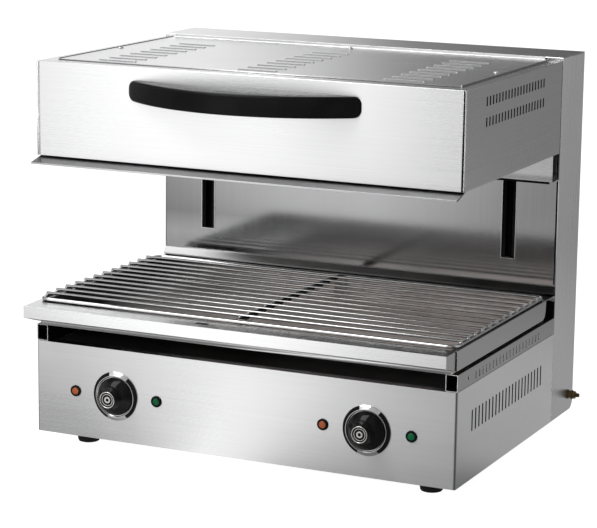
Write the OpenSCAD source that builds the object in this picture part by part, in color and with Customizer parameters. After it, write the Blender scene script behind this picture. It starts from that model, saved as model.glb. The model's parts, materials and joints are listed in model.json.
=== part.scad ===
// Lift-hood salamander grill: a fixed base with a rear column, a heater hood that runs up and
// down on rollers in the column, and a wire grid on a pull-out drip tray.
// Millimetres. X to the right, Y to the rear, Z up. The origin is on the worktop, under the
// centre of the footprint of base and column.

/* [Body] */
// Overall width of base, column and hood
body_w = 600; // [540:5:700]
// Depth from the base's front panel to the column's rear
body_d = 450; // [420:5:500]
// Depth of the rear column
column_d = 90; // [84:2:110]
// Height of the base casing
base_h = 124; // [116:2:150]
// Height of the column above the base's underside
column_h = 501; // [485:2:561]
// Height of the rubber feet under the base
foot_h = 20; // [14:1:30]
// Thickness of the steel sheet
sheet = 1.2; // [0.8:0.1:1.5]
// Gap between two pieces that are seated on each other
seat = 0.3; // [0.2:0.05:0.4]
// Outer bend radius of the base's front corners
bend_r = 3; // [2:0.5:5]
// Width of the folded sheet flanges
flange = 14; // [10:1:16]
// Radius of the column's lower rear corner
corner_r = 14; // [10:1:20]

/* [Hood] */
// Height of the hood's side panels
hood_h = 124; // [116:2:140]
// Step from the column's top down to the hood's top
hood_drop = 4.4; // [1:0.2:6]
// Step from the base's front back to the hood's front
hood_setback = 6; // [2:1:12]
// Running gap between hood and column
hood_gap = 2.5; // [2:0.5:5]
// Dark joint between the hood's front and side panels
hood_seam = 2.2; // [1:0.2:4]
// Front bend of the hood's side panels
side_edge = 2; // [2:0.5:5]
// Depth of the flange folded back over the top of the front panel
front_flange = 37; // [30:1:44]
// Width of the flanges folded in over the top of the side panels
side_flange = 32; // [26:1:38]
// Overlap of the top cover on the side flanges
cover_lap = 13; // [11:0.5:16]
// Height of the top cover's rear upstand
upstand = 4; // [3:0.5:8]
// How far the rear box hangs below the side panels
back_drop = 37; // [30:1:45]
// Depth of the rear box
back_box = 17; // [15:1:22]
// Forward reach of the lip below the front panel
lip_reach = 20; // [12:1:24]
// Fall of the lip towards the front
lip_fall = 6.5; // [4:0.5:9]
// Width of the sheet that is left round the heater window
window_rim = 30; // [26:1:40]
// Height of the reflector box
reflector_h = 48; // [40:1:52]
// Thickness of the insulation blanket
insulation_t = 28; // [15:1:30]

/* [Handle] */
// Length of the handle along the panel
handle_l = 326; // [290:2:360]
// Height of the handle bar
handle_h = 27; // [22:1:34]
// Thickness of the handle bar
handle_t = 24; // [16:1:26]
// Reach of the handle's middle in front of the hood
handle_reach = 62; // [54:1:70]
// Height of the handle's centre line above the hood's lower edge
handle_z = 94; // [70:1:104]
// Edge rounding of the handle bar
handle_r = 5; // [3:0.5:7]

/* [Vents] */
// Slots in each row of the hood's side panels
hood_vents = 20; // [10:1:20]
// Spacing of the hood's slots
hood_vent_pitch = 11; // [9:0.5:11.5]
// Width of the hood's slots
hood_vent_w = 4.4; // [3:0.2:5.4]
// Height of the hood's slots
hood_vent_h = 11.6; // [8:0.2:14]
// Spacing of the two rows of slots in the hood
hood_vent_rows = 25.8; // [18:0.2:30]
// Slots in each side of the base
base_vents = 22; // [10:1:22]
// Spacing of the base's slots
base_vent_pitch = 12.2; // [9:0.2:12.4]
// Width of the base's slots
base_vent_w = 4.2; // [3:0.2:5.4]
// Height of the base's slots
base_vent_h = 27.4; // [16:0.2:32]
// Slots in each tray rail
rail_vents = 20; // [8:1:20]
// Spacing of the rails' slots
rail_vent_pitch = 12.3; // [9:0.1:12.8]
// Width of the rails' slots
rail_vent_w = 4; // [2.4:0.2:5]
// Height of the rails' slots
rail_vent_h = 9.8; // [6:0.2:12]
// Louvres in each row of the top cover
louvres = 9; // [4:1:10]
// Spacing of the louvres
louvre_pitch = 27.8; // [22:0.2:30]
// Length of a louvre
louvre_l = 54; // [30:1:64]
// Height of a louvre above the cover
louvre_h = 2.4; // [2:0.2:5]
// Distance from the middle of the cover to the outer rows of louvres
louvre_x = 202; // [170:2:210]

/* [Tray] */
// Height of the slotted rails that carry the tray
rail_h = 22.2; // [18:0.2:30]
// Width of the slotted rails
rail_w = 16.5; // [14:0.5:24]
// Height of the tray's pan
pan_h = 31; // [27:0.5:36]
// Height of the skirts along the tray's sides
skirt_h = 25.5; // [18:0.5:25.5]
// Width of the rim round the pan
rim_w = 8; // [7:0.5:12]
// Reach of the tray's front lip in front of the base
tray_lip = 36; // [26:1:46]
// Height of the tray's front lip
tray_lip_h = 16; // [12:0.5:20]
// Depth of the tray's rear rim
rear_rim = 21; // [14:1:26]
// Gap between the tray and the column
tray_gap = 2.5; // [1.5:0.5:6]
// Travel of the tray on its rails
tray_travel = 250; // [150:10:300]
// Diameter of the grid's cross wires
wire_d = 4; // [3:0.5:5]
// Diameter of the grid's frame rod
rod_d = 5; // [4:0.5:7]
// Cross wires of the grid
wires = 12; // [6:1:12]
// Spacing of the cross wires
wire_pitch = 25; // [18:1:25]
// Room for the weld between a cross wire and the frame rod
weld = 0.1; // [0.05:0.05:0.2]
// Width of the bar under the middle of the grid
rest_w = 11; // [8:1:16]
// Height of that rest's bar
rest_bar = 4; // [3:0.5:12]
// Length of the legs at its two ends
rest_leg = 12; // [6:1:30]

/* [Controls] */
// Distance of the knobs from the middle of the base
knob_x = 180; // [150:5:200]
// Height of the knobs above the base's underside
knob_z = 61.5; // [54:0.5:66]
// Diameter of the knobs at the panel
knob_d = 50.6; // [44:0.2:54]
// Diameter of the knobs at the end
knob_end_d = 25; // [20:0.5:30]
// Reach of the knobs in front of the panel
knob_l = 24; // [18:1:30]
// Diameter of the disc set in the end of a knob
badge_d = 22; // [16:0.5:24]
// Outer diameter of the bezel rings
bezel_d = 66; // [58:0.5:68]
// Thickness of the bezel rings
bezel_t = 4; // [3:0.5:6]
// Distance of the pilot lights from their knob's axis
pilot_x = 60.6; // [50:0.2:70]
// Outer diameter of the pilot lights
pilot_d = 15; // [12:0.5:18]
// Diameter of the pilot lights' lenses
lens_d = 10; // [8:0.5:11]
// Diameter of the knob spindles
spindle_d = 6; // [5:0.5:8]
// Radial clearance of turning shafts in their bores
run_gap = 0.05; // [0.02:0.01:0.09]

/* [Lift] */
// Travel of the hood
travel = 130; // [100:5:135]
// Distance of the lift slots from the middle of the column
slot_x = 230; // [200:5:240]
// Width of the lift slots
slot_w = 17; // [14:1:22]
// Height of the carriages
carriage_h = 122; // [100:2:126]
// Thickness of a carriage's web
web_t = 4; // [3:0.5:5]
// Diameter of the rollers
wheel_d = 20; // [16:1:22]
// Width of a roller
wheel_w = 7; // [5:0.5:8]
// Diameter of the rollers' axles
axle_d = 6; // [5:0.5:8]
// Clearance between the rollers and the guides
wheel_gap = 0.3; // [0.2:0.05:0.5]
// Wall of the roller guides
guide_t = 1.5; // [1.2:0.1:2]
// Mean diameter of the balance springs
spring_d = 16; // [12:1:20]
// Wire diameter of the balance springs
spring_wire = 3; // [2:0.25:3]
// Turns of a balance spring
spring_turns = 22; // [12:1:24]

/* [Heaters] */
// Diameter of the heating tube
tube_d = 8; // [6:0.5:9]
// Straight legs of a heating tube (an even number)
tube_legs = 4; // [4:2:4]
// Spacing of the legs
tube_pitch = 60; // [48:1:64]
// Height of the heating tube above the heater frame
tube_z = 14; // [10:1:18]

/* [Fittings] */
// Diameter of the rubber feet
foot_d = 35; // [28:1:42]
// Distance of the feet from the middle
foot_x = 249.5; // [200:0.5:256]
// Distance of the feet from the front and the rear
foot_y = 49; // [34:1:90]
// Diameter of the bonding stud
stud_d = 6; // [5:0.5:8]
// Reach of the bonding stud beside the column
stud_reach = 17; // [14:1:24]
// Height of the bonding stud above the base's underside
stud_z = 23.5; // [22:0.5:40]
// Distance of the bonding stud from the column's rear
stud_y = 22; // [18:1:30]
// Bore of the cable gland
gland_bore = 12; // [8:0.5:14]
// Distance of the cable gland from the middle of the column
gland_x = 200; // [120:5:230]
// Diameter of the small screws' shanks
screw_d = 4; // [3:0.5:5]

/* [Hidden] */
$fn = 48;
over = 1;                                  // how far a cutter reaches past what it cuts

// Main planes
front_y = -body_d / 2;
rear_y = body_d / 2;
column_y = rear_y - column_d;
half_w = body_w / 2;
inner_w = half_w - sheet - seat;           // half width of what fits between the casing's sides
base_z = foot_h;
deck_z = foot_h + base_h;
top_z = foot_h + column_h;

// Hood
hood_top = top_z - hood_drop;
hood_bottom = hood_top - hood_h;
hood_front = front_y + hood_setback;
hood_rear = column_y - hood_gap;
panel_half = half_w - side_edge - hood_seam;   // half width of the hood's front panel
cover_half = half_w - side_flange + cover_lap;
cover_front = hood_front + front_flange - cover_lap;
cover_rear = hood_rear - 8;
frame_top = hood_bottom - seat;            // upper face of the heater frame
frame_rear = hood_rear - back_box - seat;
window_front = hood_front + window_rim;
window_rear = frame_rear - window_rim / 2;
window_half = half_w - window_rim - 6;
reflector_z = frame_top + seat + reflector_h;
vent_start = hood_front + 69.5;            // first slot of the hood's side panels
hood_vent_z = hood_top - 21;               // centre height of the upper row

// Tray
rail_z = deck_z + seat;
rail_top = rail_z + rail_h;
pan_z = rail_top + seat;
rim_z = pan_z + pan_h;
pan_front = front_y - 3;
tray_rear = column_y - tray_gap;
pan_rear = tray_rear - rear_rim;
skirt_rear = pan_rear - 13;
rod_z = rim_z + seat + rod_d / 2;
wire_z = rod_z + (rod_d + wire_d) / 2 + weld;
grid_half = half_w - rim_w / 2 - 1;        // centre line of the grid's side rods
grid_front = front_y + 2;
grid_rear = pan_rear - 11;
grid_bend = 12;

// Lift
slot_bottom = hood_bottom - back_drop - 111.5;
slot_top = top_z - 14;
carriage_z = slot_bottom + travel + 4;
carriage_top = carriage_z + carriage_h;
guide_y = column_y + sheet + seat;
wheel_y = guide_y + guide_t + wheel_gap + wheel_d / 2;
guide_rear = wheel_y + wheel_d / 2 + wheel_gap + guide_t;
guide_bottom = slot_bottom - 6;
guide_top = top_z - 7;
web_gap = 3;                               // room between a carriage's web and its guide
wheel_x = web_t / 2 + web_gap + 1;         // inner face of a roller, from the web's middle
guide_half = wheel_x + wheel_w + 1 + guide_t;
wheel_end = 18;                            // from a carriage's ends to its roller axles
spring_y = guide_rear + spring_d / 2 + 8;
hanger_z = top_z - 18;
hanger_t = 3;
ear_t = 4;

// Heaters
tube_level = frame_top + tube_z;
tube_mid = (window_front + window_rear) / 2;
tube_in = 16;                              // from the middle to a tube's inner bends' tips
tube_out = window_half - tube_pitch / 2 - tube_d / 2 - 8;               // from the middle to where a tube turns up
tube_turn = 10;                            // radius of the bends at a tube's ends
tube_top = reflector_z + insulation_t + 12;

function leg_y(i) = tube_mid + (i - (tube_legs - 1) / 2) * tube_pitch;
function along(from, to, t) = from + (to - from) * t;

// A block between two corners
module block(low, high) {
    translate(low) cube([high[0] - low[0], high[1] - low[1], high[2] - low[2]]);
}

// Round bars and bores along each axis
module bar_x(at, length, d) { translate(at) rotate([0, 90, 0]) cylinder(h = length, d = d); }
module bar_y(at, length, d) { translate(at) rotate([-90, 0, 0]) cylinder(h = length, d = d); }
module bar_z(at, length, d) { translate(at) cylinder(h = length, d = d); }

// Turned profile [radius, distance in front of the panel] round an axis along Y
module turned(at) { translate(at) rotate([90, 0, 0]) rotate_extrude($fn = 72) children(); }

// Extrusion along X of an outline drawn in Y and Z
module along_x(x, length) {
    translate([x, 0, 0]) rotate([90, 0, 90]) linear_extrude(length) children();
}

module both_sides() {
    children();
    mirror([1, 0, 0]) children();
}

// A round-headed screw with its head's underside at the origin and its shank pointing down
module screw(length, d = screw_d) {
    cylinder(h = 1.9, d1 = 2 * d, d2 = 1.3 * d);
    translate([0, 0, -length]) cylinder(h = length + 0.1, d = d);
}

// ---- Base ----

module wrap_outline(half, y, r) {
    translate([-half, y + r]) square([2 * half, column_y - seat - y - r]);
    translate([r - half, y]) square([2 * (half - r), r + 0.1]);
    for (s = [-1, 1]) translate([s * (half - r), y + r]) circle(r);
}

module base_shell() {
    color("lightgray") difference() {
        union() {
            translate([0, 0, base_z]) linear_extrude(base_h) difference() {
                wrap_outline(half_w, front_y, bend_r);
                wrap_outline(half_w - sheet, front_y + sheet, bend_r - sheet);
                translate([-half_w + sheet, column_y - 2]) square([body_w - 2 * sheet, 4]);
            }
            for (z = [base_z, deck_z - sheet]) {
                wide = z == base_z ? flange : rail_w + 2;
                both_sides() block([half_w - wide, front_y + bend_r, z],
                    [half_w - sheet / 2, column_y - seat, z + sheet]);
                block([bend_r - half_w, front_y + sheet / 2, z],
                    [half_w - bend_r, front_y + flange, z + sheet]);
            }
        }
        for (i = [0 : base_vents - 1])
            block([-half_w - over, base_vent_y(i) - base_vent_w / 2, base_vent_z],
                [half_w + over, base_vent_y(i) + base_vent_w / 2, base_vent_z + base_vent_h]);
        for (s = [-1, 1]) {
            bar_y([s * knob_x, front_y - over, base_z + knob_z], sheet + 2 * over, neck_d + 0.6);
            for (p = [-1, 1])
                bar_y([s * knob_x + p * pilot_x, front_y - over, base_z + knob_z],
                    sheet + 2 * over, barrel_d + 0.6);
            bar_z([s * (half_w - rail_w / 2), rail_screw_y, deck_z - sheet - over],
                sheet + 2 * over, screw_d + 0.6);
        }
    }
}
base_vent_z = base_z + base_h / 2 + 1;
function base_vent_y(i) = front_y + 53.5 + i * base_vent_pitch;
neck_d = 10;
barrel_d = lens_d + 1.5;
rail_screw_y = front_y + 38;

// Floor of base and column, curled up round the column's lower rear corner
module base_bottom() {
    curl = corner_r - sheet - seat;
    color("silver") difference() {
        union() {
            block([-inner_w, front_y + sheet + seat, base_z + sheet + seat],
                [inner_w, rear_y - corner_r, base_z + 2 * sheet + seat]);
            along_x(-inner_w, 2 * inner_w) translate([rear_y - corner_r, base_z + corner_r])
                intersection() {
                    difference() {
                        circle(curl);
                        circle(curl - sheet);
                    }
                    translate([-0.01, -corner_r]) square([corner_r + 0.01, corner_r]);
                }
        }
        foot_places() cylinder(h = 3 * base_z, d = foot_screw_d + 0.6);
        for (x = [-120 : 20 : 120])
            block([x - 3, -60, base_z], [x + 3, 60, base_z + 10]);
    }
}
foot_screw_d = 5;

// Plate that closes the top of the base between the rails
module base_deck() {
    color("black") difference() {
        block([-inner_w, front_y + sheet + seat, deck_z - 2 * sheet - seat],
            [inner_w, column_y - seat, deck_z - sheet - seat]);
        for (x = [-1, 1]) bar_z([x * (half_w - rail_w / 2), rail_screw_y, deck_z - 10],
            10, screw_d + 0.6);
    }
}

module rail(s) {
    x = s > 0 ? half_w - rail_w : -half_w;
    outer = s > 0 ? half_w - sheet - over : -half_w - over;
    color("silver") difference() {
        block([x, front_y + 0.5, rail_z], [x + rail_w, column_y - seat, rail_top]);
        block([x + sheet, front_y - over, rail_z + sheet],
            [x + rail_w - sheet, column_y + over, rail_top - sheet]);
        for (i = [0 : rail_vents - 1])
            block([outer, front_y + 64 + i * rail_vent_pitch - rail_vent_w / 2, rail_vent_z],
                [outer + sheet + 2 * over, front_y + 64 + i * rail_vent_pitch + rail_vent_w / 2,
                    rail_vent_z + rail_vent_h]);
        bar_x([outer, rail_screw_y, rail_z + rail_h / 2], sheet + 2 * over, 6);
        bar_z([x + rail_w / 2, rail_screw_y, rail_z - over], sheet + 2 * over, screw_d + 0.6);
    }
}
rail_vent_z = rail_z + 4.6;

module feet() {
    color([0.08, 0.08, 0.08]) foot_places() difference() {
        union() {
            cylinder(h = foot_h - 3, d1 = foot_d - 4, d2 = foot_d);
            translate([0, 0, foot_h - 3]) cylinder(h = 3 + sheet, d = foot_d);
        }
        translate([0, 0, -over]) cylinder(h = 2 * foot_h, d = foot_screw_d + 0.4);
        translate([0, 0, -over]) cylinder(h = foot_h / 2 + over, d = 13);
    }
}

module foot_places() {
    for (x = [-foot_x, foot_x]) for (y = [front_y + foot_y, rear_y - foot_y])
        translate([x, y, 0]) children();
}

module foot_screws() {
    head_z = foot_h / 2 - 3.3;
    color("silver") foot_places() {
        translate([0, 0, head_z]) cylinder(h = 3, d = 10);
        translate([0, 0, head_z]) cylinder(h = base_z - head_z + 10, d = foot_screw_d);
        translate([0, 0, base_z + 2 * sheet + 2 * seat]) cylinder(h = 4, d = 9, $fn = 6);
    }
}

// Screws of the rails and of the rear cover
module casing_screws() {
    color("silver") {
        for (s = [-1, 1])
            translate([s * (half_w - rail_w / 2), rail_screw_y, rail_z + sheet]) screw(8);
        for (s = [-1, 1]) for (z = cover_screw_z)
            translate([s * (half_w - flange / 2 - 2), rear_y, z]) rotate([-90, 0, 0]) screw(7);
    }
}
cover_screw_z = [base_z + corner_r + 24, along(base_z, top_z, 0.5), top_z - 20];

// ---- Column ----

module column_side(s) {
    side_top = top_z - sheet - seat;
    x = s > 0 ? half_w - sheet : -half_w;
    in0 = s > 0 ? half_w - flange : -half_w + sheet / 2;
    in1 = s > 0 ? half_w - sheet / 2 : flange - half_w;
    color("lightgray") difference() {
        union() {
            along_x(x, sheet) {
                translate([column_y, base_z + corner_r])
                    square([column_d, side_top - base_z - corner_r]);
                translate([column_y, base_z])
                    square([column_d - corner_r, corner_r + 0.1]);
                translate([rear_y - corner_r, base_z + corner_r]) circle(corner_r);
            }
            block([in0, column_y + sheet + seat, deck_z],
                [in1, column_y + 2 * sheet + seat, side_top]);
            block([in0, rear_y - 2 * sheet - seat, base_z + corner_r + 4],
                [in1, rear_y - sheet - seat, side_top]);
        }
        if (s > 0) bar_x([half_w - sheet - over, rear_y - stud_y, base_z + stud_z],
            sheet + 2 * over, stud_d + 0.4);
        for (z = cover_screw_z)
            bar_y([s * (half_w - flange / 2 - 2), rear_y - 2 * sheet - seat - over, z],
                sheet + 2 * over, screw_d + 0.4);
    }
}

module column_front() {
    color("silver") difference() {
        block([-inner_w, column_y, deck_z - 10], [inner_w, column_y + sheet, front_top]);
        for (s = [-1, 1])
            block([s * slot_x - slot_w / 2, column_y - over, slot_bottom],
                [s * slot_x + slot_w / 2, column_y + sheet + over, slot_top]);
        for (s = [-1, 1]) bar_y([s * pin_x, column_y - over, pin_z], sheet + 2 * over, 1);
    }
}
top_fold = 6;
front_top = top_z - top_fold - seat;
pin_x = slot_x - slot_w / 2 - 12;
pin_z = slot_bottom - 14;

module column_top() {
    color("gray") {
        block([-half_w, column_y, top_z - sheet], [half_w, rear_y, top_z]);
        block([-inner_w, column_y, top_z - top_fold], [inner_w, column_y + sheet, top_z]);
        block([-inner_w, rear_y - sheet, top_z - top_fold], [inner_w, rear_y, top_z]);
    }
}

module column_rear_cover() {
    color("silver") difference() {
        block([-inner_w, rear_y - sheet, base_z + corner_r], [inner_w, rear_y, front_top]);
        for (s = [-1, 1]) for (i = [0 : 9])
            block([s * 130 - 60, rear_y - sheet - over, top_z - 150 + 9 * i],
                [s * 130 + 60, rear_y + over, top_z - 146 + 9 * i]);
        bar_y([gland_x, rear_y - sheet - over, gland_z], sheet + 2 * over, gland_bore + 4.6);
        for (s = [-1, 1]) for (z = cover_screw_z)
            bar_y([s * (half_w - flange / 2 - 2), rear_y - sheet - over, z],
                sheet + 2 * over, screw_d + 0.4);
    }
}
gland_z = base_z + 50;

// Folded strip that closes the corner between column and tray
module splash_strip() {
    color("white") along_x(-half_w + strip_in, body_w - 2 * strip_in)
        polygon([[column_y - seat, rim_z + 12], [column_y - seat, rim_z + 10.4],
            [column_y - 6, rim_z + 3], [column_y - 6, rim_z + 1.6],
            [column_y - 7, rim_z + 1.6], [column_y - 7, rim_z + 3.4]]);
}

strip_in = 0.6;                            // from the column's sides in to the strip's ends

// ---- Lift ----

module guide(s) {
    color("dimgray") translate([s * slot_x, 0, 0]) {
        for (m = [0, 1]) mirror([m, 0, 0]) {
            block([guide_half - guide_t, guide_y, guide_bottom],
                [guide_half, guide_rear, guide_top]);
            for (y = [guide_y, guide_rear - guide_t])
                block([web_t / 2 + web_gap, y, guide_bottom],
                    [guide_half - guide_t / 2, y + guide_t, guide_top]);
        }
        for (z = [guide_bottom, guide_top - 3])
            block([-guide_half, guide_y, z], [guide_half, guide_rear, z + 3]);
    }
}

// Angle bar that hangs both balance springs from the column's sides
module spring_hanger() {
    color("dimgray") difference() {
        union() {
            block([-inner_w, spring_y - 10, hanger_z], [inner_w, spring_y + 10, hanger_z + hanger_t]);
            block([-inner_w, spring_y + 10 - hanger_t, hanger_z - 14],
                [inner_w, spring_y + 10, hanger_z + hanger_t]);
        }
        for (s = [-1, 1])
            bar_z([s * slot_x, spring_y, hanger_z - over], hanger_t + 2 * over, spring_wire + 0.6);
    }
}

// Balance spring: coils between two straight ends that pass through the ear and the hanger
spring_low = carriage_z - 3;
spring_high = hanger_z + hanger_t + 3;
coil_h = spring_turns * (spring_wire + 0.3);
coil_low = (spring_low + spring_high - coil_h) / 2;
turn_steps = 9;
coil_steps = spring_turns * turn_steps;
function coil_r(i) = spring_d / 2 * min(1, i / turn_steps, (coil_steps - i) / turn_steps);
function coil_point(i) = let(a = 360 * i / turn_steps)
    [coil_r(i) * cos(a), coil_r(i) * sin(a), coil_low + coil_h * i / coil_steps];
spring_path = concat([[0, 0, spring_low]], [for (i = [0 : coil_steps]) coil_point(i)],
    [[0, 0, spring_high]]);
function unit(v) = v / norm(v);
function spring_ring(i) =
    let(n = len(spring_path) - 1,
        t = unit(spring_path[min(n, i + 1)] - spring_path[max(0, i - 1)]),
        a = 360 * (i - 1) / turn_steps,
        v = unit(cross(t, [cos(a), sin(a), 0])),
        u = cross(v, t))
    [for (k = [0 : 5]) spring_path[i] + spring_wire / 2 * (cos(60 * k) * u + sin(60 * k) * v)];

module balance_spring(s) {
    n = len(spring_path);
    sides = 6;
    color("silver") translate([s * slot_x, spring_y, 0]) polyhedron(
        points = [for (i = [0 : n - 1]) each spring_ring(i)],
        faces = concat([[for (k = [0 : sides - 1]) k]],
            [for (i = [0 : n - 2]) for (k = [0 : sides - 1]) let(m = (k + 1) % sides)
                each [[i * sides + k, (i + 1) * sides + k, (i + 1) * sides + m],
                    [i * sides + k, (i + 1) * sides + m, i * sides + m]]],
            [[for (k = [0 : sides - 1]) n * sides - 1 - k]]));
}

// Web that reaches through the column's slot, with the flange that carries the hood
module carriage(s) {
    color("silver") translate([s * slot_x, 0, 0]) difference() {
        union() {
            block([-web_t / 2, flange_y, carriage_z], [web_t / 2, guide_rear + 2, carriage_top]);
            block([-20, flange_y, carriage_z], [20, flange_y + 3, carriage_top]);
            block([-web_t / 2, guide_rear, carriage_z],
                [web_t / 2, spring_y + spring_d / 2, carriage_z + 20]);
            block([-7, spring_y - 7, carriage_z], [7, spring_y + 7, carriage_z + ear_t]);
        }
        for (z = wheel_heights) bar_x([-over - web_t, wheel_y, z], 3 * web_t, axle_d + 2 * run_gap);
        block([-spring_wire, spring_y - spring_wire, carriage_z + ear_t],
            [spring_wire, spring_y + spring_d, carriage_z + 21]);
        bar_z([0, spring_y, carriage_z - over], ear_t + 2 * over, spring_wire + 0.6);
    }
}
flange_y = hood_rear - sheet - seat - 3;
wheel_heights = [carriage_z + wheel_end, carriage_top - wheel_end];

// Two rollers on one axle
module roller(s, z) {
    color("ivory") {
        bar_x([s * slot_x - wheel_x - wheel_w - 0.6, wheel_y, z],
            2 * (wheel_x + wheel_w + 0.6), axle_d);
        for (x = [-wheel_x - wheel_w, wheel_x])
            bar_x([s * slot_x + x, wheel_y, z], wheel_w, wheel_d);
    }
}

// ---- Hood ----

module hood_front_panel() {
    return_d = 12;
    color("whitesmoke") difference() {
        union() {
            block([-panel_half, hood_front, hood_bottom],
                [panel_half, hood_front + sheet, hood_top]);
            translate([0, 0, hood_top - sheet]) linear_extrude(sheet)
                polygon([[-panel_half, hood_front], [panel_half, hood_front],
                    [panel_half - front_flange, hood_front + front_flange],
                    [front_flange - panel_half, hood_front + front_flange]]);
            both_sides() block([panel_half - sheet, hood_front + sheet / 2, hood_bottom],
                [panel_half, hood_front + return_d, hood_top - sheet - seat]);
            block([-panel_half, hood_front + sheet / 2, hood_bottom],
                [panel_half, hood_front + return_d, hood_bottom + sheet]);
        }
        for (x = [-1, 1]) bar_y([x * handle_screw_x, hood_front - over, handle_mid],
            sheet + 2 * over, handle_screw_d + 0.5);
    }
}
handle_mid = hood_bottom + handle_z;
handle_screw_x = handle_l / 2 - 19;
handle_screw_d = 5;

module hood_side(s) {
    mirrored = s > 0 ? 0 : 1;
    mitre_x = panel_half + 2 * seat;
    flange_top = [[half_w, hood_front], [half_w, hood_rear], [half_w - side_flange, hood_rear],
        [half_w - side_flange, hood_front + mitre_x - half_w + side_flange],
        [mitre_x, hood_front]];
    color("gray") mirror([mirrored, 0, 0]) difference() {
        union() {
            block([half_w - sheet, hood_front, hood_bottom], [half_w, hood_rear, hood_top]);
            block([half_w - side_edge, hood_front, hood_bottom],
                [half_w - sheet / 2, hood_front + sheet, hood_top]);
            translate([0, 0, hood_top - sheet]) linear_extrude(sheet) polygon(flange_top);
            block([half_w - flange, hood_front + 16, hood_bottom],
                [half_w - sheet / 2, frame_rear, hood_bottom + sheet]);
        }
        for (row = [0, 1]) for (i = [0 : hood_vents - 1])
            translate([half_w - sheet - over, vent_start + i * hood_vent_pitch - hood_vent_w / 2,
                hood_vent_z - row * hood_vent_rows - hood_vent_h / 2])
                cube([sheet + 2 * over, hood_vent_w, hood_vent_h]);
        bar_z([cover_screw_x, cover_screw_y, hood_top - sheet - over], sheet + 2 * over,
            screw_d + 0.4);
    }
}
cover_screw_x = cover_half - 8.5;
cover_screw_y = (hood_front + hood_rear) / 2 - 2;

// One louvre, raised towards the front where it is open, and the passage under it
module louvre_hump() {
    polygon([[0, sheet / 3], [0, sheet + louvre_h - 0.3], [0.7, sheet + louvre_h],
        [1.6, sheet + louvre_h - 0.3], [9, sheet / 2], [9, sheet / 3]]);
}

module louvre_passage() {
    polygon([[-1, sheet + 0.4], [-1, sheet + louvre_h - 1], [0.9, sheet + louvre_h - 1],
        [5.6, sheet * 0.6], [5.6, -1], [1, -1], [1, sheet + 0.4]]);
}

module hood_top_cover() {
    plate_z = hood_top + seat;
    color("silver") difference() {
        union() {
            block([-cover_half, cover_front, plate_z], [cover_half, cover_rear, plate_z + sheet]);
            block([-cover_half + 3, cover_rear - sheet, plate_z + sheet / 2],
                [cover_half - 3, cover_rear, plate_z + sheet + upstand]);
            louvre_places() along_x(-louvre_l / 2, louvre_l) louvre_hump();
        }
        louvre_places() along_x(sheet - louvre_l / 2, louvre_l - 2 * sheet) louvre_passage();
        for (x = [-cover_screw_x, cover_screw_x])
            bar_z([x, cover_screw_y, plate_z - over], sheet + 2 * over, screw_d + 0.4);
        bar_z([0, cover_rear - 12, plate_z - over], sheet + 2 * over, screw_d + 0.4);
    }
}

module louvre_places() {
    for (x = [-louvre_x, 0, louvre_x]) for (i = [0 : louvres - 1])
        translate([x, louvre_y(i), hood_top + seat]) children();
}
function louvre_y(i) = cover_front + 14 + i * louvre_pitch;

// Rear sheet of the hood, folded forward and up again into the box below the side panels
module hood_rear_box() {
    low = hood_bottom - back_drop;
    y0 = hood_rear - back_box;
    box_half = half_w - 3;
    color("gray") difference() {
        union() {
            block([-inner_w, hood_rear - sheet, hood_bottom - 1],
                [inner_w, hood_rear, hood_top - sheet - seat]);
            block([-box_half, hood_rear - sheet, low], [box_half, hood_rear, hood_bottom - seat]);
            block([-box_half, y0, low], [box_half, hood_rear, low + sheet]);
            block([-box_half, y0, low], [box_half, y0 + sheet, hood_bottom - seat]);
            block([-panel_half + 10, y0, hood_bottom - 1], [panel_half - 10, y0 + sheet,
                hood_bottom + 12]);
            block([-30, cover_rear - 24, hood_top - sheet],
                [30, hood_rear - sheet / 2, hood_top]);
            block([-30, hood_rear - sheet, hood_bottom], [30, hood_rear, hood_top]);
        }
        for (s = [-1, 1])
            block([s * slot_x - web_t / 2 - 0.5, hood_rear - sheet - over, carriage_z - 1],
                [s * slot_x + web_t / 2 + 0.5, hood_rear + over, carriage_top + 1]);
        bar_z([0, cover_rear - 12, hood_top - sheet - over], sheet + 2 * over, screw_d + 0.4);
    }
}

// Sheet round the heater window, with the lip that falls forward below the front panel
module heater_frame() {
    lip_half = half_w - 2;
    lip_root = hood_front + 7.5;
    tip_y = hood_front - lip_reach;
    tip_z = frame_top - lip_fall;
    color("dimgray") {
        difference() {
            block([-panel_half, lip_root, frame_top - sheet], [panel_half, frame_rear, frame_top]);
            block([-window_half, window_front, frame_top - 2 * sheet],
                [window_half, window_rear, frame_top + sheet]);
        }
        along_x(-lip_half, 2 * lip_half)
            polygon([[lip_root + 1, frame_top], [lip_root, frame_top], [tip_y, tip_z],
                [tip_y, tip_z - sheet - 1], [tip_y + 5, tip_z - sheet],
                [lip_root + 1, frame_top - sheet]]);
    }
}

// Polished box, open downwards, that throws the heat onto the grid
module reflector() {
    foot = 7;
    low = frame_top + seat;
    roof_z = reflector_z - sheet;
    color("gainsboro") {
        difference() {
            block([-window_half - sheet, window_front - sheet, roof_z],
                [window_half + sheet, window_rear + sheet, reflector_z]);
            tube_ends() bar_z([0, 0, roof_z - over], sheet + 2 * over, bushing_d + 0.4);
        }
        // walls along front and rear, each with a foot on the frame
        for (y = [window_front, window_rear]) translate([0, y, 0]) {
            out = y == window_front ? -1 : 1;
            block([-window_half - foot, min(0, out * sheet), low],
                [window_half + foot, max(0, out * sheet), roof_z - seat]);
            block([-window_half - foot, min(0, out * foot), low],
                [window_half + foot, max(0, out * foot), low + sheet]);
        }
        // end walls between them
        both_sides() {
            block([window_half, window_front + seat, low],
                [window_half + sheet, window_rear - seat, roof_z - seat]);
            block([window_half, window_front + seat, low],
                [window_half + foot, window_rear - seat, low + sheet]);
        }
    }
}
bushing_d = 14;

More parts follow.
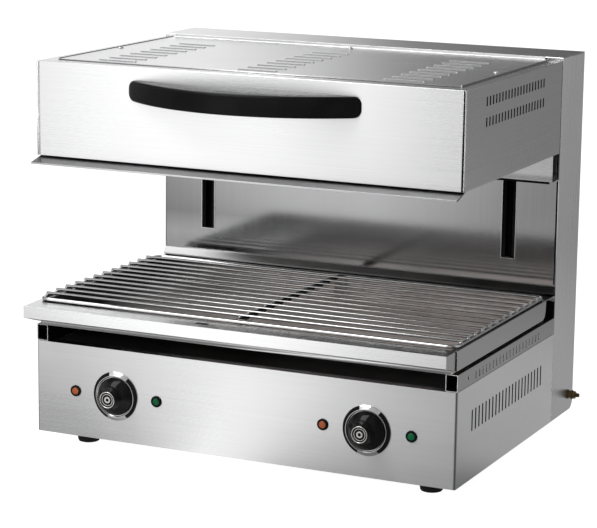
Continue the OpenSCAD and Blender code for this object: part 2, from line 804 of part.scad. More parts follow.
// Places where the heating tubes pass up through the reflector
module tube_ends() {
    for (s = [-1, 1]) for (i = [0, tube_legs - 1])
        translate([s * (tube_out + tube_turn), leg_y(i), 0]) children();
}

module insulation() {
    color("khaki") difference() {
        block([-window_half, window_front, reflector_z + seat],
            [window_half, window_rear, reflector_z + seat + insulation_t]);
        tube_ends() bar_z([0, 0, reflector_z], insulation_t + 2 * over, bushing_d + 6.4);
    }
}

// Heating tube of one zone: straight legs joined by half turns, with both ends turned up
module element(s) {
    bend = tube_pitch / 2;
    inner = tube_in + bend;
    color("dimgray") mirror([s > 0 ? 0 : 1, 0, 0]) {
        for (i = [0 : tube_legs - 1])
            bar_x([inner, leg_y(i), tube_level], tube_out - inner, tube_d);
        for (i = [0 : 2 : tube_legs - 2])
            translate([inner, leg_y(i) + bend, tube_level]) rotate([0, 0, 90])
                rotate_extrude(angle = 180) translate([bend, 0]) circle(d = tube_d);
        for (i = [1 : 2 : tube_legs - 3])
            translate([tube_out, leg_y(i) + bend, tube_level]) rotate([0, 0, -90])
                rotate_extrude(angle = 180) translate([bend, 0]) circle(d = tube_d);
        for (i = [0, tube_legs - 1]) {
            translate([tube_out, leg_y(i), tube_level + tube_turn]) rotate([90, 0, 0])
                rotate([0, 0, -90]) rotate_extrude(angle = 90)
                    translate([tube_turn, 0]) circle(d = tube_d);
            bar_z([tube_out + tube_turn, leg_y(i), tube_level + tube_turn],
                tube_top - tube_level - tube_turn, tube_d);
            bar_z([tube_out + tube_turn, leg_y(i), tube_top - 0.1], 8, 3);
        }
    }
}

// Strips that hang the heating tubes below the reflector
module element_supports() {
    color("silver") for (s = [-1, 1]) for (x = [tube_in + tube_pitch / 2 + 24, tube_out - 44])
        difference() {
            union() {
                block([s * x - 0.75, leg_y(0) - 12, tube_level - 8],
                    [s * x + 0.75, leg_y(tube_legs - 1) + 12, reflector_z - sheet - seat]);
                block([s * x - 6, leg_y(0) - 12, reflector_z - 2 * sheet - seat],
                    [s * x + 6, leg_y(tube_legs - 1) + 12, reflector_z - sheet - seat]);
            }
            for (i = [0 : tube_legs - 1])
                bar_x([s * x - over - 0.75, leg_y(i), tube_level], 1.5 + 2 * over, tube_d + 0.5);
        }
}

module element_bushings() {
    color("white") tube_ends() difference() {
        union() {
            bar_z([0, 0, reflector_z - sheet - 4], 16, bushing_d);
            bar_z([0, 0, reflector_z + seat], 3, bushing_d + 5);
        }
        bar_z([0, 0, reflector_z - sheet - 4 - over], 18 + 2 * over, tube_d + 0.5);
    }
}

// Bowed bar: an arc turned round an upright axis behind the hood and cut off at its panel
module handle() {
    r = handle_r;
    half_chord = handle_l / 2;
    arc_r = (half_chord * half_chord + handle_reach * handle_reach) / (2 * handle_reach);
    sweep = 2 * asin(min(1, (half_chord + 16) / arc_r));
    color([0.06, 0.06, 0.06]) difference() {
        translate([0, hood_front - handle_reach + arc_r, handle_mid])
            rotate([0, 0, -90 - sweep / 2]) rotate_extrude(angle = sweep, $fn = 200) union() {
                translate([arc_r - handle_t, r - handle_h / 2])
                    square([handle_t, handle_h - 2 * r]);
                translate([arc_r - handle_t + r, -handle_h / 2])
                    square([handle_t - 2 * r, handle_h]);
                for (x = [arc_r - handle_t + r, arc_r - r])
                    for (y = [r - handle_h / 2, handle_h / 2 - r])
                        translate([x, y]) circle(r);
            }
        block([-half_w, hood_front - seat, handle_mid - handle_h],
            [half_w, hood_rear, handle_mid + handle_h]);
        for (x = [-1, 1]) bar_y([x * handle_screw_x, hood_front - seat - 9, handle_mid],
            10, handle_screw_d + 0.1);
    }
}

// Screws of the handle and of the top cover
module hood_screws() {
    head_z = hood_top + seat + sheet;
    color("silver") {
        for (x = [-1, 1]) translate([x * handle_screw_x, hood_front + sheet + 0.1, handle_mid])
            rotate([-90, 0, 0]) screw(9, handle_screw_d);
        for (x = [-cover_screw_x, cover_screw_x]) translate([x, cover_screw_y, head_z]) screw(8);
        translate([0, cover_rear - 12, head_z]) screw(8);
    }
}

// ---- Controls ----

module bezel(s) {
    r = bezel_d / 2;
    inner = knob_d / 2 + 1;
    color("gainsboro") difference() {
        turned([s * knob_x, front_y - 0.1, base_z + knob_z])
            polygon([[inner - 6, 0], [r - 0.5, 0], [r, 0.6], [r - 0.6, bezel_t - 1.2],
                [r - 2, bezel_t - 0.2], [r - 3, bezel_t], [inner + 0.6, bezel_t * 0.62],
                [inner, bezel_t * 0.5], [inner, 1.2], [inner - 6, 1.2]]);
        translate([s * knob_x, front_y - bezel_t - 1.6, base_z + knob_z + r - 3])
            sphere(d = 3.4, $fn = 24);
    }
}

module knob(s) {
    back = 1.8;
    r = knob_d / 2;
    e = knob_end_d / 2;
    color([0.05, 0.05, 0.05]) difference() {
        turned([s * knob_x, front_y, base_z + knob_z])
            polygon(concat([[0, back], [r - 0.8, back], [r, back + 1]],
                [for (t = [0 : 0.125 : 1]) [along(r - 0.4, e, t), along(back + 2.6, knob_l, t)
                    + 2.2 * sin(180 * t)]],
                [[badge_d / 2 + 0.2, knob_l + 0.01], [badge_d / 2 + 0.2, knob_l - 1.4],
                    [0, knob_l - 1.4]]));
        bar_y([s * knob_x, front_y - spindle_out, base_z + knob_z], spindle_out,
            spindle_d + 2 * run_gap);
        bar_y([s * knob_x, front_y - 10, base_z + knob_z], 11, 17);
    }
}
spindle_out = 18;

module knob_badge(s) {
    r = badge_d / 2;
    face = knob_l - 0.4;
    color("silver") turned([s * knob_x, front_y, base_z + knob_z])
        polygon([[0, knob_l - 1.2], [r, knob_l - 1.2], [r, face + 0.4], [r - 1, face + 0.8],
            [r - 2, face], [r - 3.5, face - 0.2], [r - 4, face + 0.3], [0, face + 0.3]]);
}

module spindle(s) {
    color("silver") difference() {
        bar_y([s * knob_x, front_y - spindle_out + 0.3, base_z + knob_z],
            spindle_out + sheet + 18, spindle_d);
        block([s * knob_x - spindle_d, front_y - spindle_out - over, base_z + knob_z + spindle_d / 3],
            [s * knob_x + spindle_d, front_y - spindle_out + 6, base_z + knob_z + spindle_d]);
    }
}

// Energy regulator behind the panel, held by the nut on its threaded neck
module regulator(s) {
    y0 = front_y + sheet + seat;
    z = base_z + knob_z;
    x = s * knob_x;
    color([0.25, 0.25, 0.27]) difference() {
        union() {
            block([x - 22, y0 + 2, z - 24], [x + 22, y0 + 34, z + 24]);
            block([x - 16, y0, z - 16], [x + 16, y0 + 3, z + 16]);
            bar_y([x, front_y - 7, z], 10, neck_d);
            translate([x, front_y - 1.6, z]) rotate([90, 0, 0]) cylinder(h = 3, d = 16, $fn = 6);
            for (dx = [-12, 0, 12]) for (dz = [-10, 10])
                block([x + dx - 3, y0 + 33, z + dz - 0.4], [x + dx + 3, y0 + 42, z + dz + 0.4]);
        }
        bar_y([x, front_y - 8, z], 28 + sheet, spindle_d + 2 * run_gap);
    }
}

module pilot_places(sides = [-1, 1]) {
    for (s = [-1, 1]) for (p = sides)
        translate([s * knob_x + p * pilot_x, front_y, base_z + knob_z]) children();
}

module pilot_housings() {
    color([0.1, 0.1, 0.1]) pilot_places() difference() {
        union() {
            turned([0, 0, 0]) polygon([[0, 0.2], [pilot_d / 2, 0.2], [pilot_d / 2, 1.4],
                [pilot_d / 2 - 1, 2.2], [0, 2.2]]);
            bar_y([0, -0.3, 0], 26, barrel_d);
            bar_y([0, sheet + seat, 0], 3, pilot_d);
        }
        bar_y([0, -6, 0], 18, lens_d);
        for (dx = [-2.5, 2.5]) block([dx - 0.4, 22, -2], [dx + 0.4, 27, 2]);
    }
}

module pilot_lens() {
    r = lens_d / 2 - 0.15;
    turned([0, 0, 0]) polygon([[0, -8], [r, -8], [r, 1.6],
        for (a = [15 : 15 : 90]) [r * cos(a), 1.6 + 1.8 * sin(a)]]);
}

module pilot_lenses_amber() { color("darkorange") pilot_places([-1]) pilot_lens(); }
module pilot_lenses_green() { color("green") pilot_places([1]) pilot_lens(); }

// ---- Fittings of the rear ----

module terminal_block() {
    x0 = gland_x - 40;
    z0 = base_z + 2 * sheet + 2 * seat;
    color("ivory") difference() {
        block([x0, rear_y - 60, z0], [x0 + 60, rear_y - 36, z0 + 18]);
        for (i = [0 : 4]) {
            bar_z([x0 + 6 + 12 * i, rear_y - 48, z0 + 10], 9, 7);
            bar_y([x0 + 6 + 12 * i, rear_y - 61, z0 + 6], 26, 5);
        }
    }
}

module cable_gland() {
    body_d1 = gland_bore + 4;
    color([0.12, 0.12, 0.12]) difference() {
        union() {
            bar_y([gland_x, rear_y - sheet - 12, gland_z], sheet + 24, body_d1);
            bar_y([gland_x, rear_y + seat, gland_z], 6, body_d1 + 6);
            bar_y([gland_x, rear_y + 6, gland_z], 12, body_d1 + 4);
            translate([gland_x, rear_y - sheet - seat, gland_z]) rotate([90, 0, 0])
                cylinder(h = 5, d = body_d1 + 8, $fn = 6);
        }
        bar_y([gland_x, rear_y - 40, gland_z], 80, gland_bore);
    }
}

module bonding_stud() {
    color("goldenrod") {
        bar_x([half_w - 10, rear_y - stud_y, base_z + stud_z], 10 + nuts_out, stud_d);
        bar_x([half_w + nuts_out - 0.1, rear_y - stud_y, base_z + stud_z], 0.8, stud_d - 1);
        bar_x([half_w + nuts_out + 0.6, rear_y - stud_y, base_z + stud_z],
            stud_reach - nuts_out - 0.6, stud_d);
        translate([half_w - sheet - seat - 4, rear_y - stud_y, base_z + stud_z])
            rotate([0, 90, 0]) cylinder(h = 4, d = 2 * stud_d, $fn = 6);
    }
}
nuts_out = 11.7;

module bonding_nuts() {
    color("darkgoldenrod") difference() {
        for (x = [seat, 6.2]) {
            bar_x([half_w + x, rear_y - stud_y, base_z + stud_z], 1.2, 2 * stud_d + 1);
            translate([half_w + x + 1, rear_y - stud_y, base_z + stud_z])
                rotate([0, 90, 0]) cylinder(h = 4.4, d = 1.85 * stud_d, $fn = 6);
        }
        bar_x([half_w - over, rear_y - stud_y, base_z + stud_z], 20, stud_d + 0.2);
    }
}

// ---- Tray and grid ----

module drip_tray() {
    pan_half = half_w - rim_w;
    lip_in = 1.5;                          // from the skirts in to the lip's ends
    lip_y = front_y - tray_lip;
    step_z = rim_z - tray_lip_h;
    fold_z = rim_z - skirt_h;
    lip_outline = [[lip_y, rim_z], [pan_front + sheet, rim_z], [pan_front + sheet, fold_z],
        [pan_front - 3, fold_z], [lip_y, step_z]];
    lip_hollow = [[lip_y + sheet, rim_z - sheet], [pan_front, rim_z - sheet],
        [pan_front, fold_z + sheet], [pan_front - 3 + sheet / 4, fold_z + sheet],
        [lip_y + sheet, step_z + sheet]];
    color("silver") difference() {
        union() {
            // pan
            difference() {
                block([-pan_half, pan_front, pan_z], [pan_half, pan_rear, rim_z]);
                block([sheet - pan_half, pan_front + sheet, pan_z + sheet],
                    [pan_half - sheet, pan_rear - sheet, rim_z + over]);
            }
            // rims and skirts along the sides
            both_sides() {
                block([pan_half - sheet, front_y - 4, rim_z - sheet], [half_w, tray_rear, rim_z]);
                along_x(half_w - sheet, sheet)
                    polygon([[front_y - 4, rim_z], [skirt_rear, rim_z],
                        [skirt_rear - 1.5, rim_z - skirt_h + 10],
                        [skirt_rear - 5, rim_z - skirt_h + 3],
                        [skirt_rear - 12, rim_z - skirt_h], [front_y - 4, rim_z - skirt_h]]);
            }
            // rear rim with its edge turned down
            block([-half_w, pan_rear - sheet, rim_z - sheet], [half_w, tray_rear, rim_z]);
            block([-half_w, tray_rear - sheet, rim_z - 8], [half_w, tray_rear, rim_z]);
            // front lip, folded back under itself to the pan
            difference() {
                along_x(lip_in - half_w, body_w - 2 * lip_in) polygon(lip_outline);
                along_x(lip_in + sheet - half_w, body_w - 2 * (lip_in + sheet))
                    polygon(lip_hollow);
            }
        }
        // finger hole in the lip
        block([-52, front_y - 22, rim_z - 2 * sheet], [-34, front_y - 14, rim_z + over]);
    }
}

// Shallow channel that holds up the middle of the wires, on a leg at each end
module centre_rest() {
    low = pan_z + sheet + seat;
    high = wire_z - wire_d / 2 - seat;
    start = grid_front + rod_d;
    end = grid_rear - rod_d;
    color("black") difference() {
        block([-rest_w / 2, start, low], [rest_w / 2, end, high]);
        block([sheet - rest_w / 2, start - over, low - over],
            [rest_w / 2 - sheet, end + over, high - sheet]);
        block([-rest_w / 2 - over, start + rest_leg, low - over],
            [rest_w / 2 + over, end - rest_leg, high - rest_bar]);
    }
}

// Wire grid: a bent frame rod with a rod across its middle, and the cross wires on top
module grid_frame() {
    b = grid_bend;
    color("gainsboro") {
        for (y = [grid_front, grid_rear])
            bar_x([b - grid_half, y, rod_z], 2 * (grid_half - b), rod_d);
        for (x = [-grid_half, grid_half])
            bar_y([x, grid_front + b, rod_z], grid_rear - grid_front - 2 * b, rod_d);
        for (corner = [[-1, 0, 180], [1, 0, 270], [1, 1, 0], [-1, 1, 90]])
            translate([corner[0] * (grid_half - b),
                corner[1] == 0 ? grid_front + b : grid_rear - b, rod_z])
                rotate([0, 0, corner[2]]) rotate_extrude(angle = 90)
                    translate([b, 0]) circle(d = rod_d);
        bar_y([-rest_w / 2 - rod_d / 2 - seat, grid_front, rod_z], grid_rear - grid_front, rod_d);
    }
}

module grid_wires() {
    color("gainsboro") for (i = [0 : wires - 1])
        bar_x([-grid_half - 1.5, front_y + 20 + i * wire_pitch, wire_z], 2 * grid_half + 3, wire_d);
}

base_shell();
base_bottom();
base_deck();
rail(-1);  // rail_left
rail(1);  // rail_right
column_front();
column_side(-1);  // column_side_left
column_side(1);  // column_side_right
column_top();
column_rear_cover();
splash_strip();
guide(-1);  // guide_left
guide(1);  // guide_right
spring_hanger();
balance_spring(-1);  // spring_left
balance_spring(1);  // spring_right
regulator(-1);  // regulator_left
regulator(1);  // regulator_right
bezel(-1);  // bezel_left
bezel(1);  // bezel_right
pilot_housings();
pilot_lenses_amber();
pilot_lenses_green();
terminal_block();
cable_gland();
bonding_stud();
bonding_nuts();
feet();
foot_screws();
casing_screws();
hood_front_panel();
hood_side(-1);  // hood_side_left
hood_side(1);  // hood_side_right
hood_top_cover();
hood_rear_box();
heater_frame();
reflector();
insulation();
element(-1);  // element_left
element(1);  // element_right
element_supports();
element_bushings();
handle();
hood_screws();
carriage(-1);  // carriage_left
carriage(1);  // carriage_right
roller(-1, wheel_heights[1]);  // roller_left_upper
roller(-1, wheel_heights[0]);  // roller_left_lower
roller(1, wheel_heights[1]);  // roller_right_upper
roller(1, wheel_heights[0]);  // roller_right_lower
knob(-1);  // knob_left
knob_badge(-1);  // knob_badge_left
spindle(-1);  // spindle_left
knob(1);  // knob_right
knob_badge(1);  // knob_badge_right
spindle(1);  // spindle_right
drip_tray();
centre_rest();
grid_frame();
grid_wires();
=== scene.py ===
import bpy
import bmesh
import json
import math
from mathutils import Matrix, Vector


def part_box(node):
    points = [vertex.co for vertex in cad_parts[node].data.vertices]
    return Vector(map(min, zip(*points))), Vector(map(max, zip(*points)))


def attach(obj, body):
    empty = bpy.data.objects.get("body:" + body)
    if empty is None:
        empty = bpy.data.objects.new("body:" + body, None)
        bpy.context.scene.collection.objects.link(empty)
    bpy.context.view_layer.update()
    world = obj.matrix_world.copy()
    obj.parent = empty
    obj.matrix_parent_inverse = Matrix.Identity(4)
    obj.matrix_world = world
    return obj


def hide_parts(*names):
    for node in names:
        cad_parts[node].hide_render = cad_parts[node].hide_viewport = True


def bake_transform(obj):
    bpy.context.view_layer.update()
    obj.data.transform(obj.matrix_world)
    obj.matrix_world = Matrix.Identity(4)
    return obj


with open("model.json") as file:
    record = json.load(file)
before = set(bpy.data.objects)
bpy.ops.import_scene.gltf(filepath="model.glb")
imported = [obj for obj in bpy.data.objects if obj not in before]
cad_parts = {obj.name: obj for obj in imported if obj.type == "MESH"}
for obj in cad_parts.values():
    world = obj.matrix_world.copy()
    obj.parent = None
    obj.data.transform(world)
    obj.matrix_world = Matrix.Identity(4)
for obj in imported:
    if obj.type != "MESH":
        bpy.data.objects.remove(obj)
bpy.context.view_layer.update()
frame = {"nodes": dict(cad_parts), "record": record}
nodes = frame["nodes"]
behaviour = frame["record"]["behaviour"]
bodyOf = {node: body for body, members in behaviour["bodies"].items() for node in members}
slotOf = {part["node"]: part["material_slot"] for part in frame["record"]["subparts"]}
scene = bpy.context.scene
scene.view_settings.view_transform = "Standard"
print("frame loaded:", len(nodes), "nodes")


def placed(name, data):
    piece = bpy.data.objects.new(name, data)
    scene.collection.objects.link(piece)
    return piece


view = {"place": (1.30139, -2.83789, 0.8756), "turn": (1.368639, -0.012154, 0.438882),
        "lens": 141.712, "sensor": 36, "far": 90}

cameraData = bpy.data.cameras.new("camera")
cameraData.lens = view["lens"]
cameraData.sensor_width = view["sensor"]
cameraData.clip_end = view["far"]
cameraObject = placed("camera", cameraData)
cameraObject.location = view["place"]
cameraObject.rotation_euler = view["turn"]
scene.camera = cameraObject


def shaderTree(name, tone, metallic, roughness):
    material = bpy.data.materials.new(name)
    material.use_nodes = True
    tree = material.node_tree
    shader = tree.nodes["Principled BSDF"]
    shader.inputs["Base Color"].default_value = (*tone, 1)
    shader.inputs["Metallic"].default_value = metallic
    shader.inputs["Roughness"].default_value = roughness
    return material, tree, shader


def feed(tree, socket, value):
    # an output is linked to the socket, a constant is set in it
    if isinstance(value, bpy.types.NodeSocket):
        tree.links.new(value, socket)
    else:
        socket.default_value = value


def combine(tree, operation, *values):
    node = tree.nodes.new("ShaderNodeMath")
    node.operation = operation
    for socket, value in zip(node.inputs, values):
        feed(tree, socket, value)
    return node.outputs["Value"]


def blended(tree, factor, first, second, kind="MIX"):
    node = tree.nodes.new("ShaderNodeMix")
    node.data_type = "RGBA"
    node.blend_type = kind
    feed(tree, node.inputs["Factor"], factor)
    feed(tree, node.inputs["A"], first)
    feed(tree, node.inputs["B"], second)
    return node.outputs["Result"]


def pieceAxes(tree):
    # the three coordinates of a point on the piece
    place = tree.nodes.new("ShaderNodeTexCoord")
    parts = tree.nodes.new("ShaderNodeSeparateXYZ")
    tree.links.new(place.outputs["Object"], parts.inputs["Vector"])
    return parts.outputs


def noiseIn(tree, scale, stretch=(1, 1, 1), detail=2.0, roughness=0.5):
    # noise, stretched along the piece's axes
    place = tree.nodes.new("ShaderNodeTexCoord")
    mapping = tree.nodes.new("ShaderNodeMapping")
    mapping.inputs["Scale"].default_value = stretch
    noise = tree.nodes.new("ShaderNodeTexNoise")
    noise.inputs["Scale"].default_value = scale
    noise.inputs["Detail"].default_value = detail
    noise.inputs["Roughness"].default_value = roughness
    tree.links.new(place.outputs["Object"], mapping.inputs["Vector"])
    tree.links.new(mapping.outputs["Vector"], noise.inputs["Vector"])
    return noise.outputs["Fac"]


def spread(tree, value, low, high, start=0.3, end=0.7):
    node = tree.nodes.new("ShaderNodeMapRange")
    node.inputs["From Min"].default_value = start
    node.inputs["From Max"].default_value = end
    node.inputs["To Min"].default_value = low
    node.inputs["To Max"].default_value = high
    tree.links.new(value, node.inputs["Value"])
    return node.outputs["Result"]


def tint(tree, value, dark, light, start=0.3, end=0.7):
    ramp = tree.nodes.new("ShaderNodeValToRGB")
    ramp.color_ramp.elements[0].position = start
    ramp.color_ramp.elements[0].color = (*dark, 1)
    ramp.color_ramp.elements[1].position = end
    ramp.color_ramp.elements[1].color = (*light, 1)
    tree.links.new(value, ramp.inputs["Fac"])
    return ramp.outputs["Color"]


def shade(tone, share, lift=0.0):
    return [min(1, c * share + lift) for c in tone]


def relief(tree, shader, height, strength, depth):
    bump = tree.nodes.new("ShaderNodeBump")
    bump.inputs["Strength"].default_value = strength
    bump.inputs["Distance"].default_value = depth
    tree.links.new(height, bump.inputs["Height"])
    tree.links.new(bump.outputs["Normal"], shader.inputs["Normal"])


grains = {"level": {"stretch": (0.6, 0.6, 90), "relief": 0.018},
          "upright": {"stretch": (90, 90, 0.6), "relief": 0.018},
          "flat": {"stretch": (0.6, 90, 0.6), "relief": 0.006}}


def brushedSteel(name, tone, roughness, grain, smear=0.85, metallic=1.0, lightAndShadeFade=None):
    # fine lines along one direction, cloudy where it was wiped
    material, tree, shader = shaderTree(name, tone, metallic, roughness)
    shader.inputs["Anisotropic"].default_value = smear
    lines = noiseIn(tree, 9, grains[grain]["stretch"], 3, 0.6)
    clouds = noiseIn(tree, 5)
    colour = tint(tree, lines, shade(tone, 0.97), shade(tone, 1.03))
    if lightAndShadeFade:
        axis, start, end, first, last = lightAndShadeFade
        share = spread(tree, pieceAxes(tree)[axis], first, last, start, end)
        colour = blended(tree, 1.0, colour, share, "MULTIPLY")
    rough = combine(tree, "ADD", spread(tree, lines, roughness - 0.012, roughness + 0.016),
                    spread(tree, clouds, -0.02, 0.03))
    tree.links.new(colour, shader.inputs["Base Color"])
    tree.links.new(rough, shader.inputs["Roughness"])
    relief(tree, shader, lines, grains[grain]["relief"], 0.0002)
    if grain != "flat":
        tangent = tree.nodes.new("ShaderNodeTangent")
        tangent.direction_type = "RADIAL"
        tangent.axis = "Z"
        tree.links.new(tangent.outputs["Tangent"], shader.inputs["Tangent"])
        if grain == "level":
            shader.inputs["Anisotropic Rotation"].default_value = 0.25
    return material


def plainMetal(name, tone, roughness, mottle=0.08, scale=60):
    material, tree, shader = shaderTree(name, tone, 1.0, roughness)
    patches = noiseIn(tree, scale, detail=4)
    colour = tint(tree, patches, shade(tone, 1 - mottle), shade(tone, 1 + mottle))
    tree.links.new(colour, shader.inputs["Base Color"])
    rough = spread(tree, patches, roughness - 0.04, roughness + 0.06)
    tree.links.new(rough, shader.inputs["Roughness"])
    return material


def moulded(name, tone, roughness, pores=0.1, shine=0.5, scale=400):
    material, tree, shader = shaderTree(name, tone, 0.0, roughness)
    shader.inputs["Specular IOR Level"].default_value = shine
    skin = noiseIn(tree, scale, detail=3)
    wear = noiseIn(tree, 14, detail=3)
    rough = spread(tree, wear, roughness - 0.05, roughness + 0.07)
    tree.links.new(rough, shader.inputs["Roughness"])
    colour = tint(tree, wear, shade(tone, 0.85), shade(tone, 1.15, 0.002))
    tree.links.new(colour, shader.inputs["Base Color"])
    relief(tree, shader, skin, pores, 0.0003)
    return material


def panSheet(name, clean, wireShadeShare, darkReflection):
    # steel with painted shade and reflection of the wires in brownish streaks, and a painted dark
    # reflection towards its left end
    material, tree, shader = shaderTree(name, clean, 0.3, 0.5)
    streaks = noiseIn(tree, 7, (1.0, 42, 1), 4, 0.65)
    along = combine(tree, "MULTIPLY_ADD", streaks, 0.10, pieceAxes(tree)["X"])
    dark = [c * share for c, share in zip(clean, wireShadeShare)]
    colour = blended(tree, spread(tree, along, 0.0, 1.0, -0.20, -0.03), (*darkReflection, 1),
                     tint(tree, streaks, dark, shade(clean, 1.2)))
    tree.links.new(colour, shader.inputs["Base Color"])
    tree.links.new(spread(tree, streaks, 0.42, 0.6), shader.inputs["Roughness"])
    relief(tree, shader, streaks, 0.05, 0.0004)
    return material


# lit and shaded copies of one stainless steel: each tone is painted light or shade for the faces
# that wear it
# tone, roughness and grain; then smear, metallic share and light and shade fade where they differ.
# A light and shade fade is an axis, where it starts and ends in metres, and the painted tone's
# share at each.
steels = {
    "levelSteel": ((0.705, 0.705, 0.71), 0.28, "level"),
    # painted shade: darker towards the bottom
    "uprightSteel": ((0.74, 0.74, 0.745), 0.28, "upright", 0.85, 1.0, ("Z", 0.1, 0.5, 0.8, 1.04)),
    # painted light and shade: lighter low down on the column front, darker above
    "columnSteel": ((0.40, 0.40, 0.404), 0.13, "upright", 0.5, 1.0,
                    ("Z", 0.235, 0.265, 1.45, 0.77)),
    "dullSteel": ((0.35, 0.35, 0.354), 0.28, "level"),
    "flatSteel": ((0.69, 0.69, 0.695), 0.24, "flat", 0.0),
    "topSteel": ((0.65, 0.65, 0.655), 0.24, "flat", 0.0),
    "skirtSteel": ((0.36, 0.36, 0.362), 0.24, "level"),
    "lipSteel": ((0.80, 0.80, 0.805), 0.26, "level"),
    # painted shade: darker towards the right
    "stripSteel": ((0.34, 0.34, 0.34), 0.35, "level", 0.4, 1.0, ("X", -0.1, 0.2, 1.0, 0.22)),
    # painted shade: darker towards the right
    "lipTopSteel": ((0.70, 0.70, 0.705), 0.24, "level", 0.85, 1.0, ("X", -0.3, 0.3, 1.0, 0.32)),
    "tipSteel": ((0.48, 0.48, 0.484), 0.3, "level"),
    # painted shade: darker towards the right
    "rimSteel": ((0.85, 0.85, 0.85), 0.32, "level", 0.4, 0.45, ("X", 0.05, 0.3, 1.0, 0.4)),
}
# tone and roughness; then mottling and its scale
metals = {
    "zinc": ((0.55, 0.56, 0.58), 0.35, 0.12, 90),
    "reflectorSheet": ((0.75, 0.74, 0.72), 0.22, 0.08, 30),
    "darkFrame": ((0.115, 0.115, 0.115), 0.32, 0.1, 50),
    "heatingTube": ((0.10, 0.092, 0.085), 0.5, 0.3, 120),
    "springSteel": ((0.30, 0.30, 0.31), 0.35),
    "chrome": ((0.72, 0.72, 0.73), 0.06, 0.02),
    "gridWire": ((0.52, 0.52, 0.52), 0.12, 0.1, 80),
    "badgeMetal": ((0.80, 0.79, 0.77), 0.3),
    "brass": ((0.13, 0.095, 0.05), 0.38, 0.5, 150),
}
# tone and roughness; then pores, shine and the pores' scale
plastics = {
    # near-black: black parts, painted shade in gaps, slots, seams and hollows, and painted dark
    # reflection on the bezels
    "gapBlack": ((0.001, 0.001, 0.001), 0.6, 0.0, 0.08),
    # painted shade on the right-facing face of the bead at the cover's left edge
    "liftBlack": ((0.006, 0.006, 0.006), 0.5),
    # near-black sheet under the tray: painted shade in the gap there
    "blackEnamel": ((0.006, 0.006, 0.006), 0.32, 0.05),
    "handleBlack": ((0.001, 0.001, 0.001), 0.27, 0.04, 0.06),
    "knobBlack": ((0.001, 0.001, 0.001), 0.07, 0.0, 0.13),
    # pale and grey edges: painted highlight and painted light on bright edges and seams of the
    # steel
    "paleEdge": ((0.30, 0.30, 0.302), 0.5, 0.0, 0.2),
    "greyEdge": ((0.20, 0.20, 0.202), 0.5, 0.0, 0.2),
    "rubberBlack": ((0.004, 0.004, 0.004), 0.6, 0.2, 0.2),
    "nylon": ((0.78, 0.75, 0.66), 0.45),
    "greyPlastic": ((0.05, 0.052, 0.06), 0.45),
    "ivoryPlastic": ((0.72, 0.68, 0.58), 0.4),
    "ceramicWhite": ((0.82, 0.80, 0.76), 0.35),
    "blanket": ((0.62, 0.57, 0.42), 0.9, 0.9, 0.5, 120),
    "lensAmber": ((0.14, 0.034, 0.010), 0.12, 0.02, 0.25),
    "lensGreen": ((0.001, 0.038, 0.013), 0.12, 0.02, 0.15),
    "glandBlack": ((0.01, 0.01, 0.01), 0.5),
}
# the pan's steel tone, the shares of it in its painted wire shade streaks, and its painted dark
# reflection
finishes = {"panSteel": panSheet("panSteel", (0.58, 0.545, 0.53), (0.50, 0.43, 0.40),
                                 (0.02, 0.02, 0.021))}
for maker, rows in ((brushedSteel, steels), (plainMetal, metals), (moulded, plastics)):
    for name, row in rows.items():
        finishes[name] = maker(name, *row)

finishOfSlot = {
    "stainless": "levelSteel", "zinc": "zinc", "reflector_sheet": "reflectorSheet",
    "black_enamel": "blackEnamel", "dark_frame": "darkFrame", "heating_tube": "heatingTube",
    "spring_steel": "springSteel", "chrome": "chrome", "grid_wire": "gridWire",
    "handle_black": "handleBlack", "knob_black": "knobBlack", "badge_metal": "badgeMetal",
    "rubber_black": "rubberBlack", "brass": "brass", "nylon": "nylon",
    "grey_plastic": "greyPlastic", "ivory_plastic": "ivoryPlastic",
    "ceramic_white": "ceramicWhite", "blanket": "blanket", "lens_amber": "lensAmber",
    "lens_green": "lensGreen", "gland_black": "glandBlack",
}
# finishes other than the slot's: lit and shaded copies of the steel, the pan's painted shade and
# reflection, and near-black painted shade on the guides and carriages seen through the column's
# slots
finishOfNode = {
    "column_side_left": "uprightSteel", "column_side_right": "uprightSteel",
    "column_front": "columnSteel", "column_rear_cover": "uprightSteel", "column_top": "topSteel",
    "rail_left": "dullSteel", "rail_right": "dullSteel", "hood_top_cover": "flatSteel",
    "drip_tray": "panSteel", "splash_strip": "stripSteel", "hood_rear_box": "levelSteel",
    "guide_left": "gapBlack", "guide_right": "gapBlack", "carriage_left": "gapBlack",
    "carriage_right": "gapBlack", "centre_rest": "gapBlack", "pilot_housings": "gapBlack",
}


def finishFor(node):
    return finishes[finishOfNode.get(node) or finishOfSlot[slotOf[node]]]


for node, piece in nodes.items():
    for place in piece.material_slots:
        place.material = finishFor(node)
    if not piece.material_slots:
        piece.data.materials.append(finishFor(node))
print("finishes on the frame")


# sheet metal: the fold's radius of each piece, in millimetres
foldedSheet = {
    "base_shell": 2.0, "hood_front_panel": 1.6, "hood_side_left": 1.6, "hood_side_right": 1.6,
    "hood_top_cover": 1.2, "column_side_left": 1.2, "column_side_right": 1.2, "column_top": 1.2,
    "column_front": 1.0, "drip_tray": 1.6, "rail_left": 1.5, "rail_right": 1.5,
    "heater_frame": 1.0, "hood_rear_box": 1.5, "splash_strip": 0.8,
}
# an edge is a fold from this angle on; a shorter one stays sharp, and a thin sheet's is cut
edgeSoftness = {"angle": 25, "shortest": 14, "thin": 3.0, "cutEdge": 0.3, "segments": 3,
                "flatFacesFirst": 80}
sharpBelow = {"hood_top_cover": 300, "column_top": 100, "hood_front_panel": 100}
louvre = {"sheetTop": 518.1, "clear": 0.05, "before": 118, "height": 0.55}
seams = {"within": 2e-6, "flatBelow": 0.6}      # metres, degrees


def asMesh(name, mesh):
    data = bpy.data.meshes.new(name)
    mesh.to_mesh(data)
    mesh.free()
    return data


